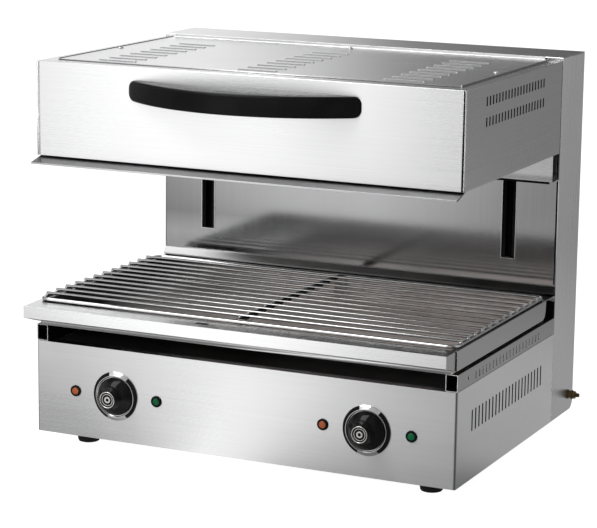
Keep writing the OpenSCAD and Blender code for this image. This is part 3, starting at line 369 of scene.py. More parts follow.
def joinedMesh(node):
    mesh = bmesh.new()
    mesh.from_mesh(nodes[node].data)
    bmesh.ops.remove_doubles(mesh, verts=mesh.verts, dist=seams["within"])
    return mesh


def plainCopy(node, name):
    # the node's shape with its seams joined, as a new piece
    mesh = joinedMesh(node)
    bmesh.ops.dissolve_limit(mesh, angle_limit=math.radians(seams["flatBelow"]),
                             verts=mesh.verts, edges=mesh.edges)
    return placed(name, asMesh(name, mesh))


def settle(piece):
    # applies the piece's modifiers
    depsgraph = bpy.context.evaluated_depsgraph_get()
    made = bpy.data.meshes.new_from_object(piece.evaluated_get(depsgraph))
    old = piece.data
    piece.modifiers.clear()
    piece.data = made
    bpy.data.meshes.remove(old)


def standFor(piece, node):
    piece.data.materials.clear()
    piece.data.materials.append(finishFor(node))
    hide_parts(node)
    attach(piece, bodyOf[node])


def reachFrom(edge, face):
    # how far a face reaches from one of its edges
    start, along = edge.verts[0].co, (edge.verts[1].co - edge.verts[0].co).normalized()
    return max((v.co - start - (v.co - start).dot(along) * along).length for v in face.verts)


def pressLouvres(mesh):
    for vert in mesh.verts:
        over = vert.co.z * 1000 - louvre["sheetTop"]
        if over > louvre["clear"] and vert.co.y * 1000 < louvre["before"]:
            vert.co.z -= over * (1 - louvre["height"]) / 1000


def foldSheet(node, radius, shortest=edgeSoftness["shortest"]):
    piece = plainCopy(node, node + "_sheet")
    mesh = bmesh.new()
    mesh.from_mesh(piece.data)
    if node == "hood_top_cover":
        pressLouvres(mesh)
    weight = mesh.edges.layers.float.new("bevel_weight_edge")
    for edge in mesh.edges:
        if len(edge.link_faces) != 2 \
                or edge.calc_face_angle(0) < math.radians(edgeSoftness["angle"]):
            continue
        if edge.calc_length() * 1000 < shortest:
            edge.smooth = False
            continue
        reach = min(reachFrom(edge, face) for face in edge.link_faces) * 1000
        thin = reach < edgeSoftness["thin"]
        edge[weight] = edgeSoftness["cutEdge"] / radius if thin else 1.0
    mesh.to_mesh(piece.data)
    mesh.free()
    soft = piece.modifiers.new("folds", "BEVEL")
    soft.limit_method = "WEIGHT"
    soft.width = radius / 1000
    soft.segments = edgeSoftness["segments"]
    soft.use_clamp_overlap = True
    level = piece.modifiers.new("level", "WEIGHTED_NORMAL")
    level.keep_sharp = True
    level.weight = edgeSoftness["flatFacesFirst"]
    for polygon in piece.data.polygons:
        polygon.use_smooth = True
    settle(piece)
    standFor(piece, node)
    return piece


def islands(node):
    # the boxes of a node's separate solids, in millimetres
    mesh = joinedMesh(node)
    seen, boxes = set(), []
    for first in mesh.verts:
        if first in seen:
            continue
        seen.add(first)
        group, queue = [], [first]
        while queue:
            vert = queue.pop()
            group.append(vert.co * 1000)
            for edge in vert.link_edges:
                other = edge.other_vert(vert)
                if other not in seen:
                    seen.add(other)
                    queue.append(other)
        boxes.append([Vector([pick(c[i] for c in group) for i in range(3)])
                      for pick in (min, max)])
    mesh.free()
    return sorted(boxes, key=lambda box: [round(v, 2) for v in box[0]])


def paintWhere(piece, finish, test):
    # gives the faces that pass the test a second finish: at is a face's middle in
    # millimetres, facing its direction
    piece.data.materials.append(finishes[finish])
    place = len(piece.data.materials) - 1
    for polygon in piece.data.polygons:
        if test(polygon.center * 1000, polygon.normal):
            polygon.material_index = place


folded = {node: foldSheet(node, radius, sharpBelow.get(node, edgeSoftness["shortest"]))
          for node, radius in foldedSheet.items()}

# the tray's lip, skirts, ring and rear rim, in millimetres
tray = {"lipFace": -236, "lipBack": -227.2, "lipTop": 197, "outside": 292.5, "ring": 190,
        "rearRim": 108, "front": -226.5, "low": 182,
        "hollow": -227.5, "hollowEnd": 297.6, "holeX": (-54, -32), "holeY": (-249, -237)}


def inTrayLip(at, facing):
    # the inside of the hollow lip, and the walls of its finger hole
    inHole = (tray["holeX"][0] < at.x < tray["holeX"][1]
              and tray["holeY"][0] < at.y < tray["holeY"][1])
    return at.y < tray["hollow"] and (
        facing.z < -0.5 and at.z > tray["ring"] or facing.y > 0.3
        or facing.z > 0.3 and at.z < tray["ring"]
        or abs(facing.x) > 0.5 and abs(at.x) < tray["hollowEnd"]
        or inHole and facing.z < 0.5)


# the tray's faces in lit and shaded copies of its steel, some fading darker towards the right, and
# near-black painted shade inside the hollow lip and its finger hole
trayPaints = (
    ("lipSteel", lambda at, facing: at.y < tray["lipFace"] and facing.y < -0.3),
    ("skirtSteel", lambda at, facing: at.z > tray["ring"]
     or abs(at.x) > tray["outside"] and abs(facing.x) > 0.5 and at.x * facing.x > 0
     or at.y < tray["lipBack"] and facing.y >= -0.3),
    ("lipTopSteel", lambda at, facing: at.z > tray["lipTop"] and facing.z > 0.5),
    ("rimSteel", lambda at, facing: at.y > tray["rearRim"] and facing.z > 0.5),
    ("lipSteel", lambda at, facing: at.y < tray["front"] and at.z < tray["low"]
     and facing.y < -0.2),
    ("gapBlack", inTrayLip),
)
for finish, test in trayPaints:
    paintWhere(folded["drip_tray"], finish, test)

# rails: near-black painted shade inside, but for their outer walls; their front edges in a grey
# painted highlight
railOutside = 298.6
for side in ("left", "right"):
    rail = folded["rail_" + side]
    paintWhere(rail, "gapBlack", lambda at, facing: facing.y >= -0.5
               and not (abs(at.x) > railOutside and abs(facing.x) > 0.5))
    paintWhere(rail, "greyEdge", lambda at, facing: facing.y < -0.5)

# near-black painted shade on the insides of the slotted walls, seen through the slots: heights in
# millimetres
slotted = {"base_shell": (30, 130), "hood_side_left": (400, 510), "hood_side_right": (400, 510)}
slottedWall = {"outside": 294, "y": (-200, 120)}
for node, (low, high) in slotted.items():
    paintWhere(folded[node], "gapBlack", lambda at, facing: abs(at.x) > slottedWall["outside"]
               and at.x * facing.x < 0.5 * abs(at.x)
               and slottedWall["y"][0] < at.y < slottedWall["y"][1] and low < at.z < high)

# other edges painted with light or shade, in millimetres: near-black painted shade, pale and grey
# painted highlights, and darker or lighter copies of the steel
edgeAt = {"frameFront": -236, "baseCornerX": 298, "baseCornerY": -223, "hoodSideFront": -214,
          "upstandY": 118, "upstandZ": 518.6, "flange": 512, "panelEnd": 296.5,
          "stripTop": 1000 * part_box("splash_strip")[1][2] - 1.5}
edgePaints = (
    ("hood_rear_box", "gapBlack", lambda at, facing: facing.x > 0.7 or facing.z < -0.7),
    ("heater_frame", "tipSteel", lambda at, facing: at.y < edgeAt["frameFront"]
     and facing.y < -0.6),
    ("base_shell", "dullSteel", lambda at, facing: at.x > edgeAt["baseCornerX"]
     and at.y < edgeAt["baseCornerY"] and 0.3 < facing.x < 0.95 and facing.y < -0.2),
    ("hood_side_right", "greyEdge", lambda at, facing: at.y < edgeAt["hoodSideFront"]
     and facing.y < -0.1),
    ("hood_top_cover", "paleEdge", lambda at, facing: at.y > edgeAt["upstandY"]
     and at.z > edgeAt["upstandZ"]),
    *((node, "topSteel", lambda at, facing: at.z > edgeAt["flange"] and facing.z > 0.5)
      for node in ("hood_front_panel", "hood_side_left", "hood_side_right")),
    ("hood_front_panel", "gapBlack", lambda at, facing: at.x > edgeAt["panelEnd"]
     and facing.x > 0.25),
    ("splash_strip", "paleEdge", lambda at, facing: at.z > edgeAt["stripTop"]
     and facing.z > 0.25),
)
for node, finish, test in edgePaints:
    paintWhere(folded[node], finish, test)
print("sheet metal folded")


# turned pieces: outlines are distances from the axis and reaches along it, in millimetres
facingTo = {"front": Matrix.Rotation(math.radians(90), 4, "X"),
            "back": Matrix.Rotation(math.radians(-90), 4, "X"),
            "up": Matrix.Identity(4), "right": Matrix.Rotation(math.radians(90), 4, "Y")}


def turn(mesh, outline, centre, axis="front", around=96, dent=None):
    place = Matrix.Translation(centre) @ facingTo[axis]
    rings = []
    for radius, reach in outline:
        ring = []
        for k in range(1 if radius < 0.01 else around):
            angle = k * math.tau / around
            sunk = dent(radius, reach, angle) if dent else 0
            point = Vector((radius * math.cos(angle), radius * math.sin(angle), reach - sunk))
            ring.append(mesh.verts.new(place @ (point / 1000)))
        rings.append(ring)
    for inner, outer in zip(rings, rings[1:]):
        for k in range(around):
            after = (k + 1) % around
            if len(inner) == 1 and len(outer) == 1:
                continue
            if len(inner) == 1:
                mesh.faces.new((inner[0], outer[k], outer[after]))
            elif len(outer) == 1:
                mesh.faces.new((inner[k], outer[0], inner[after]))
            else:
                mesh.faces.new((inner[k], outer[k], outer[after], inner[after]))


def newPiece(name, mesh, node, finish=None, crease=38):
    bmesh.ops.recalc_face_normals(mesh, faces=mesh.faces)
    data = asMesh(name, mesh)
    for polygon in data.polygons:
        polygon.use_smooth = True
    data.set_sharp_from_angle(angle=math.radians(crease))
    piece = placed(name, data)
    data.materials.append(finish or finishFor(node))
    return piece


def turnedPiece(name, node, outline, centre, around=96):
    mesh = bmesh.new()
    turn(mesh, outline, centre, "front", around)
    piece = newPiece(name, mesh, node)
    standFor(piece, node)
    return piece


def arc(middle, size, start, end, steps):
    # points along part of an ellipse, in degrees from the axis of the radii
    angles = [math.radians(start + (end - start) * k / steps) for k in range(steps + 1)]
    return [(middle[0] + size[0] * math.cos(angle), middle[1] + size[1] * math.sin(angle))
            for angle in angles]


# knobs with a metal disc in the end, each in a ring with black arcs of painted reflection on it
knobShape = {
    "panel": -0.225, "height": 0.0815, "apart": 0.18,
    "back": 1.8, "foot": 25.3, "footEdge": 0.8, "cone": 10.0, "coneTop": 12.0,
    "end": 12.5, "reach": 24.0, "endEdge": 1.2, "recess": 1.4,
    "disc": 11.0, "discSunk": 0.6, "discGap": 0.15, "discRim": 0.6,
    "discRings": ((1.4, -0.35), (3.0, -0.35), (3.2, -0.05), (3.8, -0.05), (4.0, -0.4),
                  (6.6, -0.4), (6.8, 0), (8.6, 0), (8.8, -0.3)),
    "darkFrom": 1.2, "darkTo": 9.6, "discFront": (-248.3, -247),
    "bezel": 33.0, "bezelHeight": 4.0, "bezelEdge": 0.7, "bezelTop": 27.7,
    "reflectedArcRadii": (28.3, 32.4), "reflectedArcSpans": ((-158, -17), (36, 148)),
}


def knobOutline(shape):
    # a cone at the foot, then nearly straight to the end
    foot, end, reach = shape["foot"], shape["end"], shape["reach"]
    footEdge, endEdge, recess = shape["footEdge"], shape["endEdge"], shape["recess"]
    waist, gap = foot - shape["cone"], shape["disc"] + shape["discGap"]
    cone = [(foot - 0.3 - 9.7 * t, 3.4 + 8.6 * t + 0.5 * math.sin(math.pi * t))
            for t in [k / 10 for k in range(11)]]
    barrel = [(waist - (waist - end) * math.sin(math.pi / 2 * t),
               shape["coneTop"] + (reach - 13.2 - 0.6) * t) for t in [k / 8 for k in range(1, 8)]]
    return ([(0, shape["back"]), (foot - footEdge, shape["back"])]
            + arc((foot - footEdge, shape["back"] + footEdge), (footEdge, footEdge), -90, 0, 4)[1:]
            + cone + barrel
            + arc((end - endEdge, reach - endEdge), (endEdge, endEdge), 20, 90, 5)
            + [(gap, reach), (gap, reach - recess), (0, reach - recess)])


def discOutline(shape):
    # a raised rim round sunk rings, with a small boss in the middle
    face, rim, edge = shape["reach"] - shape["discSunk"], shape["disc"], shape["discRim"]
    return ([(0, face - 0.5), (rim, face - 0.5)]
            + arc((rim - edge, face + 0.3), (edge, edge), 0, 180, 8)
            + [(rim - inward, face + raised) for inward, raised in shape["discRings"]]
            + [(0, face + shape["discRings"][-1][1])])


def bezelOutline(shape):
    rim, edge = shape["bezel"], shape["bezelEdge"]
    return ([(26.4, 1.0), (26.4, 0.1), (rim, 0.1), (rim, 0.6)]
            + arc((rim - edge, 0.6), (edge, edge), 0, 55, 4)[1:]
            + arc((shape["bezelTop"], shape["bezelHeight"] - edge), (edge, edge), 58, 180, 8)
            + [(27.0, 2.0), (26.4, 1.6), (26.4, 1.0)])


for side, sign in (("left", -1), ("right", 1)):
    centre = (sign * knobShape["apart"], knobShape["panel"], knobShape["height"])

    def fromAxis(at):
        return at.x - centre[0] * 1000, at.z - centre[2] * 1000

    def reflectedDarkArc(at, facing):
        x, z = fromAxis(at)
        turned = math.degrees(math.atan2(x, z))
        return (knobShape["reflectedArcRadii"][0] < math.hypot(x, z) < knobShape["reflectedArcRadii"][1] and facing.y < -0.5
                and any(low < turned < high for low, high in knobShape["reflectedArcSpans"]))

    def darkRing(at, facing):
        near, far = knobShape["discFront"]
        return (facing.y < -0.9 and near < at.y < far
                and knobShape["darkFrom"] < math.hypot(*fromAxis(at)) < knobShape["darkTo"])

    ring = turnedPiece("bezel_%s_ring" % side, "bezel_" + side, bezelOutline(knobShape), centre,
                       180)
    # black arcs of painted reflection on the ring
    paintWhere(ring, "gapBlack", reflectedDarkArc)
    turnedPiece("knob_%s_body" % side, "knob_" + side, knobOutline(knobShape), centre, 128)
    disc = turnedPiece("knob_%s_disc" % side, "knob_badge_" + side, discOutline(knobShape), centre)
    paintWhere(disc, "knobBlack", darkRing)
print("knobs and bezels turned")


# bowed handle: a bar round an upright axis behind the hood, its ends rounded off at the panel
handleShape = {"length": 326, "reach": 61.9, "height": 27, "depth": 24, "edge": 4.0,
               "corner": 8.0, "panel": -219.3, "seat": 0.3, "middle": 486.6, "steps": 120}


def handleBar(shape):
    half, corner, edge = shape["length"] / 2, shape["corner"], shape["edge"]
    bow = (half ** 2 + shape["reach"] ** 2) / (2 * shape["reach"])
    axisY = shape["panel"] + shape["seat"] - shape["reach"] + bow
    last = math.acos((axisY - shape["panel"]) / bow)
    mesh, sections = bmesh.new(), []
    for k in range(shape["steps"] + 1):
        angle = last * math.sin(math.pi * (k / shape["steps"] - 0.5))
        fromEnd = max(0.0, half - bow * abs(math.sin(angle)))
        tall = shape["height"] / 2
        if fromEnd < corner:
            tall -= corner - math.sqrt(corner ** 2 - (corner - fromEnd) ** 2)
        outer, inner, upper = bow - edge, bow - shape["depth"] + edge, tall - edge
        outline = []
        for r, z, start in ((outer, upper, 0), (inner, upper, 90), (inner, -upper, 180),
                            (outer, -upper, 270)):
            outline += arc((r, z), (edge, edge), start, start + 90, 5)
        sections.append([mesh.verts.new((
            r * math.sin(angle) / 1000,
            min(axisY - r * math.cos(angle), shape["panel"]) / 1000,
            (shape["middle"] + z) / 1000)) for r, z in outline])
    for near, after in zip(sections, sections[1:]):
        for k in range(len(near)):
            m = (k + 1) % len(near)
            mesh.faces.new((near[k], near[m], after[m], after[k]))
    mesh.faces.new(sections[0])
    mesh.faces.new(sections[-1])
    bmesh.ops.remove_doubles(mesh, verts=mesh.verts, dist=1e-5)
    standFor(newPiece("handle_bar", mesh, "handle", crease=50), "handle")


handleBar(handleShape)


# balance springs, stretched between the hanger and the carriages
spring = {"slot": 230, "away": 176.1, "low": 375.1, "high": 509.0, "coil": 16.0, "wire": 3.0,
          "slack": 0.02, "turns": 22, "pitch": 3.3, "steps": 20, "straight": 8, "sides": 8,
          "hanger": 503.0, "ear": 382.1}


def sweep(mesh, points, radius, sides):
    # a round wire along points, in millimetres
    rings, side = [], Vector((1, 0, 0))
    for k, point in enumerate(points):
        along = (points[min(k + 1, len(points) - 1)] - points[max(k - 1, 0)]).normalized()
        side = (side - along * side.dot(along)).normalized()
        other = along.cross(side)
        rings.append([mesh.verts.new((point + radius * (math.cos(m * math.tau / sides) * side
                                                        + math.sin(m * math.tau / sides) * other))
                                     / 1000) for m in range(sides)])
    for near, after in zip(rings, rings[1:]):
        for m in range(sides):
            n = (m + 1) % sides
            mesh.faces.new((near[m], near[n], after[n], after[m]))
    mesh.faces.new(rings[0])
    mesh.faces.new(rings[-1])


def balanceSpring(side, x, shape):
    tall = shape["turns"] * shape["pitch"]
    low = (shape["low"] + shape["high"] - tall) / 2
    steps, straight, away = shape["turns"] * shape["steps"], shape["straight"], shape["away"]
    points = [Vector((x, away, shape["low"] + (low - shape["low"]) * k / straight))
              for k in range(straight)]
    for k in range(steps + 1):
        size = shape["coil"] / 2 * min(1, k / shape["steps"], (steps - k) / shape["steps"])
        angle = math.tau * k / shape["steps"]
        points.append(Vector((x + size * math.cos(angle), away + size * math.sin(angle),
                              low + tall * k / steps)))
    points += [Vector((x, away, low + tall + (shape["high"] - low - tall) * (k + 1) / straight))
               for k in range(straight)]
    mesh = bmesh.new()
    sweep(mesh, points, shape["wire"] / 2 - shape["slack"], shape["sides"])
    piece = newPiece("spring_%s_coil" % side, mesh, "spring_" + side, crease=60)
    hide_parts("spring_" + side)
    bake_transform(piece)


balanceSpring("left", -spring["slot"], spring)
balanceSpring("right", spring["slot"], spring)
print("handle bowed, springs wound")


# pan-head screws with a cross recess and a threaded shank
screwShape = {"dome": 1.9, "rim": 0.5, "under": 0.2, "cross": 0.58, "arm": 0.15, "deep": 1.1,
              "crossFrom": 0.9, "pitch": 0.9, "thread": 0.25, "point": 0.7, "shank": 0.5}


def screwInto(mesh, centre, axis, head, length):
    shape, half, shank = screwShape, head / 2, head * screwShape["shank"] / 2
    rim, under, pitch = shape["rim"], shape["under"], shape["pitch"]

    def crossRecess(radius, reach, angle):
        x, y = abs(radius * math.cos(angle)), abs(radius * math.sin(angle))
        inside = max(x, y) < shape["cross"] * half and min(x, y) < shape["arm"] * half
        return shape["deep"] if reach > shape["crossFrom"] and inside else 0

    outline = [(half * t, rim + (shape["dome"] - rim) * math.sqrt(1 - t * t))
               for t in [k / 16 for k in range(17)]]
    outline += [(half, under), (half - under, 0), (shank, 0)]
    for k in range(int(length / pitch) - 1):
        outline += [(shank - shape["thread"], -0.5 - k * pitch - pitch / 2),
                    (shank, -0.5 - (k + 1) * pitch)]
    outline += [(shank - shape["point"], -length), (0, -length)]
    turn(mesh, outline, centre, axis, 40, crossRecess)


def screwsFor(node, axisOf):
    # a screw for each of the node's solids, its head where the solid's is
    mesh = bmesh.new()
    for low, high in islands(node):
        axis, middle = axisOf(low, high), (low + high) / 2
        along = 2 if axis == "up" else 1
        middle[along] = high[along] - screwShape["dome"]
        length = high[along] - low[along] - screwShape["dome"]
        screwInto(mesh, middle / 1000, axis, high.x - low.x, length)
    standFor(newPiece(node + "_cross", mesh, node, crease=30), node)


screwsFor("hood_screws", lambda low, high: "up" if high.z > 510 else "back")
screwsFor("casing_screws", lambda low, high: "back" if high.y > 200 else "up")


# welded grid: wires with rounded ends and a weld where each one crosses a rod
weld = {"wide": 2.7, "tall": 1.3, "rods": (-295, -8.3, 295), "wireEnd": 1.0}


def gridWires():
    mesh = bmesh.new()
    for low, high in islands("grid_wires"):
        radius, length = (high.z - low.z) / 2, high.x - low.x
        middle = (low + high) / 2
        cap = arc((0, weld["wireEnd"]), (radius, weld["wireEnd"]), -90, 0, 4)
        outline = cap + [(radius, length / 2)] + [(r, length - reach) for r, reach in reversed(cap)]
        turn(mesh, outline, Vector((low.x, middle.y, middle.z)) / 1000, "right", 18)
        for x in weld["rods"]:
            turn(mesh, arc((0, 0), (weld["wide"], weld["tall"]), -90, 90, 8),
                 Vector((x, middle.y, low.z)) / 1000, "up", 14)
    standFor(newPiece("grid_wires_welded", mesh, "grid_wires", crease=50), "grid_wires")


gridWires()


# the rest's thin black bar, on legs of the pan's own steel
restShape = {"fold": 0.5, "legsBelow": 196.5}
paintWhere(foldSheet("centre_rest", restShape["fold"]), "panSteel",
           lambda at, facing: at.z < restShape["legsBelow"])


# rubber feet
footShape = [(6.5, 0), (11.8, 0), (13.5, 0.6), (14.4, 1.8), (15.1, 6.0), (15.4, 6.6), (15.2, 7.2),
             (15.6, 7.8), (16.4, 17.2), (16.4, 20), (2.8, 20), (2.8, 6.7), (6.5, 6.7), (6.5, 0)]
mesh = bmesh.new()
for low, high in islands("feet"):
    turn(mesh, footShape, Vector(((low.x + high.x) / 2, (low.y + high.y) / 2, 0)) / 1000, "up", 64)
standFor(newPiece("feet_ribbed", mesh, "feet"), "feet")


# threaded earthing stud, one turn of thread to the millimetre
stud = {"start": 290, "length": 27, "size": 3.0, "cut": 0.4, "crest": 0.6, "root": 1.1,
        "tip": ((0.1, 0.8), (0.7, 0))}
low, high = islands("bonding_stud")[0]
studOutline = [(0, 0), (stud["size"], 0)]
for k in range(stud["length"] - 1):
    studOutline += [(stud["size"], k + stud["crest"]),
                    (stud["size"] - stud["cut"], k + stud["root"])]
studOutline += [(stud["size"] - inward, stud["length"] - back) for inward, back in stud["tip"]]
mesh = bmesh.new()
turn(mesh, studOutline + [(0, stud["length"])],
     Vector((stud["start"], (low.y + high.y) / 2, (low.z + high.z) / 2)) / 1000, "right", 32)
standFor(newPiece("bonding_stud_thread", mesh, "bonding_stud"), "bonding_stud")


# thin trims: painted shade and painted highlight lines beside the cover and along seams of hood,
# base and column, a painted shade strip at the lower front edge of the hood's rear box, and
# near-black stops for the tray
def trim(name, body, low, high, finish, soft=0.3):
    mesh = bmesh.new()
    bmesh.ops.create_cube(mesh, size=1)
    for vert in mesh.verts:
        vert.co = [(a + b) / 2000 + (b - a) * c / 1000 for a, b, c in zip(low, high, vert.co)]
    bmesh.ops.bevel(mesh, geom=mesh.edges, offset=soft / 1000, segments=2, affect="EDGES")
    data = asMesh(name, mesh)
    piece = placed(name, data)
    data.materials.append(finishes[finish])
    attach(piece, body)
    return piece


# a bead along each side edge of the cover; its right-facing face is painted shade, near-black on
# the left bead and shaded steel on the right one
coverEdge = {"low": (-193, 516.7), "high": (124, 518.9), "wide": 2.1,
             "sides": {"left": (-283.4, "liftBlack"), "right": (281.3, "skirtSteel")}}
for side, (x, inner) in coverEdge["sides"].items():
    edge = trim("cover_edge_" + side, "hood", (x, *coverEdge["low"]),
                (x + coverEdge["wide"], *coverEdge["high"]), "flatSteel")
    paintWhere(edge, inner, lambda at, facing: facing.x > 0.5)
low, high = [[1000 * v for v in corner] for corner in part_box("hood_rear_box")]
# seam lines of painted light and shade: a grey painted highlight at the hood's left seam,
# near-black painted shade at its right seam and the column's, a pale painted highlight at the
# base's seam
trims = (
    ("hood_seam_left", "hood", (-297.9, -218.4, 394), (-295.9, -217.6, 515.5), "greyEdge", 0.1),
    ("hood_seam_right", "hood", (296.0, -219.1, 393.5), (297.1, -218.2, 516), "gapBlack", 0.1),
    ("base_seam_right", "base", (299.3, 134.0, 21), (300.1, 134.9, 143), "paleEdge", 0.1),
    ("rear_box_hem", "hood", (low[0] + 1, low[1] - 0.9, low[2] - 0.2),
     (high[0] - 0.2, low[1] + 0.2, low[2] + 2.7), "gapBlack"),
    ("tray_stop_left", "base", (-299.2, 132.8, 168), (-285, 134.8, 202), "gapBlack"),
    ("tray_stop_right", "base", (285, 132.8, 168), (299.2, 134.8, 202), "gapBlack"),
    ("column_seam_right", "base", (296.6, 134.4, 212), (298.4, 134.9, 354), "gapBlack", 0.1),
)
for row in trims:
    trim(*row)


# edging round the column's slots: a near-black strip of painted shade with a painted highlight in
# bright steel on its outer edge
edging = {"at": 230, "inside": 8.5, "black": 1.3, "bright": 0.6, "low": 244.1, "high": 390,
          "front": 134.5, "raised": 0.2, "back": 134.95}


def slotEdging(side, x, shape):
    mesh = bmesh.new()
    path = [(-1, shape["high"]), (-1, shape["low"]), (1, shape["low"]), (1, shape["high"])]
    for start, width, front in (
            (0.0, shape["black"], shape["front"]),
            (shape["black"], shape["bright"], shape["front"] - shape["raised"])):
        inner, outer = shape["inside"] + start, shape["inside"] + start + width
        rows = []
        for reach in (inner, outer):
            drop = reach - shape["inside"]
            rows.append([[mesh.verts.new(((x + s * reach) / 1000, y / 1000,
                                          (z - drop if z == shape["low"] else z) / 1000))
                          for y in (front, shape["back"])] for s, z in path])
        for k in range(3):
            a, b, c, d = rows[0][k], rows[0][k + 1], rows[1][k + 1], rows[1][k]
            for quad in ((a[0], b[0], c[0], d[0]), (a[1], d[1], c[1], b[1]),
                         (a[0], a[1], b[1], b[0]), (d[0], c[0], c[1], d[1])):
                mesh.faces.new(quad)
    made = newPiece("slot_edging_" + side, mesh, "column_front", finishes["gapBlack"])
    paintWhere(made, "lipSteel",
               lambda at, facing: abs(at.x - x) > shape["inside"] + shape["black"]
               or at.z < shape["low"] - shape["black"])
    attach(made, "base")


slotEdging("left", -edging["at"], edging)
slotEdging("right", edging["at"], edging)
print("screws, grid, feet and trims made")


# floor, lamps and the cards that the metal reflects
floor = {"size": 60, "tone": (0.86, 0.86, 0.86), "roughness": 0.9, "glow": 1.3, "share": 0.72}
# the rings are radius and height of the tent, in metres; wall, far and near are tones at each
# angle round it, in degrees, up the tent and on its ground away from and close to the part
cards = {
    "gain": 2.0,
    "rings": ((0.02, 0.0006), (0.5, 0.0006), (1.2, 0.0006), (5.2, 0.0006), (5.2, 0.6), (5.0, 2.2),
              (3.6, 4.4), (0.02, 5.6)),
    "wall": {-60: 0.40, -42: 0.46, -35: 0.72, -30: 0.80, -24: 0.80, -20: 0.62, -13: 0.28,
             10: 0.22, 30: 0.30, 50: 0.08, 70: 0.08, 90: 0.42, 125: 0.34, 145: 0.16, 165: 0.07,
             180: 0.08, 194: 0.05, 201: 0.12, 205: 0.36, 209: 0.52, 217: 0.50, 228: 0.30,
             240: 0.08, 252: 0.08, 270: 0.45},
    "far": {-60: 0.24, -40: 0.30, -33: 0.70, -30: 0.80, -24: 0.80, -20: 0.62, -13: 0.32,
            30: 0.22, 50: 0.06, 70: 0.06, 90: 0.34, 130: 0.38, 148: 0.12, 175: 0.10, 195: 0.28,
            225: 0.24, 240: 0.06, 252: 0.06, 270: 0.30},
    "near": {-60: 0.14, -42: 0.145, -30: 0.31, -16: 0.60, -6: 0.52, 8: 0.23, 20: 0.12, 50: 0.08,
             70: 0.08, 90: 0.22, 150: 0.26, 180: 0.24, 225: 0.20, 240: 0.08, 252: 0.08,
             270: 0.24},
    "farFrom": (0.5, 1.6), "wallFrom": (0.0, 0.6),
}
softboxes = {
    "above": {"place": (-1.75, 0.7, 3.7), "aim": (0, 0, 0.1), "size": (1.5, 1.3), "gain": 7},
    "aboveFront": {"place": (-0.9, -1.45, 2.6), "aim": (0, -0.24, 0.08), "size": (1.4, 1.7),
                   "gain": 6.5},
}
# place, aim, size and watts
lamps = {
    "frontLeft": ((-1.6, -3.2, 1.7), (0, 0, 0.3), (1.4, 1.4), 55),
    "frontLow": ((0.4, -2.8, 1.0), (0, 0, 0.17), (1.0, 0.7), 95),
    "overhead": ((0.2, -0.2, 3.2), (0, 0, 0), (2.4, 2.4), 50),
}
surround = 0.72


def seenOrMirrored(tree):
    path = tree.nodes.new("ShaderNodeLightPath")
    total = path.outputs["Is Camera Ray"]
    for ray in ("Is Glossy Ray", "Is Transmission Ray"):
        total = combine(tree, "MAXIMUM", total, path.outputs[ray])
    return total


def flatCard(name, size):
    wide, tall = size[0] / 2, size[1] / 2
    data = bpy.data.meshes.new(name)
    data.from_pydata([(-wide, -tall, 0), (wide, -tall, 0), (wide, tall, 0), (-wide, tall, 0)], [],
                     [(0, 1, 2, 3)])
    return placed(name, data)


def paleFloor():
    piece = flatCard("floor", (floor["size"], floor["size"]))
    material, tree, shader = shaderTree("floorPaint", floor["tone"], 0.0, floor["roughness"])
    glow = tree.nodes.new("ShaderNodeEmission")
    glow.inputs["Strength"].default_value = floor["glow"]
    mix = tree.nodes.new("ShaderNodeMixShader")
    share = combine(tree, "MULTIPLY", seenOrMirrored(tree), floor["share"])
    tree.links.new(share, mix.inputs["Fac"])
    tree.links.new(shader.outputs["BSDF"], mix.inputs[1])
    tree.links.new(glow.outputs["Emission"], mix.inputs[2])
    tree.links.new(mix.outputs["Shader"], tree.nodes["Material Output"].inputs["Surface"])
    piece.data.materials.append(material)


def toneRound(tree, angle, tones):
    ramp = tree.nodes.new("ShaderNodeValToRGB")
    stops = sorted(((degrees + 90) / 360, tone) for degrees, tone in tones.items())
    while len(ramp.color_ramp.elements) < len(stops):
        ramp.color_ramp.elements.new(0.5)
    for stop, (place, tone) in zip(ramp.color_ramp.elements, stops):
        stop.position = place
        stop.color = (tone, tone, tone, 1)
    tree.links.new(angle, ramp.inputs["Fac"])
    return ramp.outputs["Color"]


def glossOnly(piece):
    for kind in ("camera", "diffuse", "shadow", "transmission", "volume_scatter"):
        setattr(piece, "visible_" + kind, False)


def glowing(name, strength):
    material = bpy.data.materials.new(name)
    material.use_nodes = True
    tree = material.node_tree
    glow = tree.nodes.new("ShaderNodeEmission")
    glow.inputs["Strength"].default_value = strength
    tree.links.new(glow.outputs["Emission"], tree.nodes["Material Output"].inputs["Surface"])
    return material, tree, glow


def aim(piece, place, target):
    piece.location = place
    piece.rotation_euler = (Vector(target) - Vector(place)).to_track_quat("-Z", "Y").to_euler()


def softboxCard(name, box):
    piece = flatCard(name, box["size"])
    aim(piece, box["place"], box["aim"])
    glossOnly(piece)
    piece.data.materials.append(glowing(name + "Glow", box["gain"])[0])


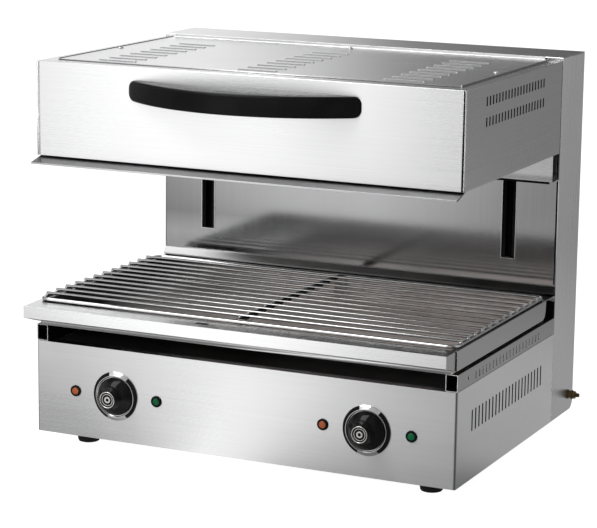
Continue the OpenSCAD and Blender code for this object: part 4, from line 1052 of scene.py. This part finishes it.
def studioCards():
    # grey and white cards on the ground and in a tent, that only the metal's gloss sees
    around, mesh = 96, bmesh.new()
    loops = [[mesh.verts.new((r * math.sin(k * math.tau / around),
                              r * math.cos(k * math.tau / around), z))
              for k in range(around)] for r, z in cards["rings"]]
    for low, high in zip(loops, loops[1:]):
        for k in range(around):
            after = (k + 1) % around
            mesh.faces.new((low[k], low[after], high[after], high[k]))
    piece = placed("cards", asMesh("cards", mesh))
    glossOnly(piece)
    material, tree, glow = glowing("cardPaper", cards["gain"])
    place = tree.nodes.new("ShaderNodeTexCoord")
    angle = tree.nodes.new("ShaderNodeTexGradient")
    angle.gradient_type = "RADIAL"
    flat = tree.nodes.new("ShaderNodeVectorMath")
    flat.operation = "MULTIPLY"
    flat.inputs[1].default_value = (1, 1, 0)
    away = tree.nodes.new("ShaderNodeVectorMath")
    away.operation = "LENGTH"
    tree.links.new(place.outputs["Object"], angle.inputs["Vector"])
    tree.links.new(place.outputs["Object"], flat.inputs[0])
    tree.links.new(flat.outputs["Vector"], away.inputs[0])
    tone = toneRound(tree, angle.outputs["Fac"], cards["near"])
    for ring, value in (("far", away.outputs["Value"]), ("wall", pieceAxes(tree)["Z"])):
        share = spread(tree, value, 0.0, 1.0, *cards[ring + "From"])
        tone = blended(tree, share, tone, toneRound(tree, angle.outputs["Fac"], cards[ring]))
    tree.links.new(tone, glow.inputs["Color"])
    piece.data.materials.append(material)


def softLamp(name, place, target, size, power):
    data = bpy.data.lights.new(name, "AREA")
    data.shape = "RECTANGLE"
    data.size, data.size_y = size
    data.energy = power
    lamp = placed(name, data)
    aim(lamp, place, target)
    lamp.visible_glossy = False


def whiteSurround():
    world = bpy.data.worlds.new("studio")
    scene.world = world
    world.use_nodes = True
    tree = world.node_tree
    background = tree.nodes["Background"]
    background.inputs["Color"].default_value = (1, 1, 1, 1)
    level = spread(tree, seenOrMirrored(tree), surround, 1.0, 0.0, 1.0)
    tree.links.new(level, background.inputs["Strength"])


paleFloor()
studioCards()
for name, box in softboxes.items():
    softboxCard(name, box)
whiteSurround()
for name, lamp in lamps.items():
    softLamp(name, *lamp)
print("floor, cards and lamps ready")
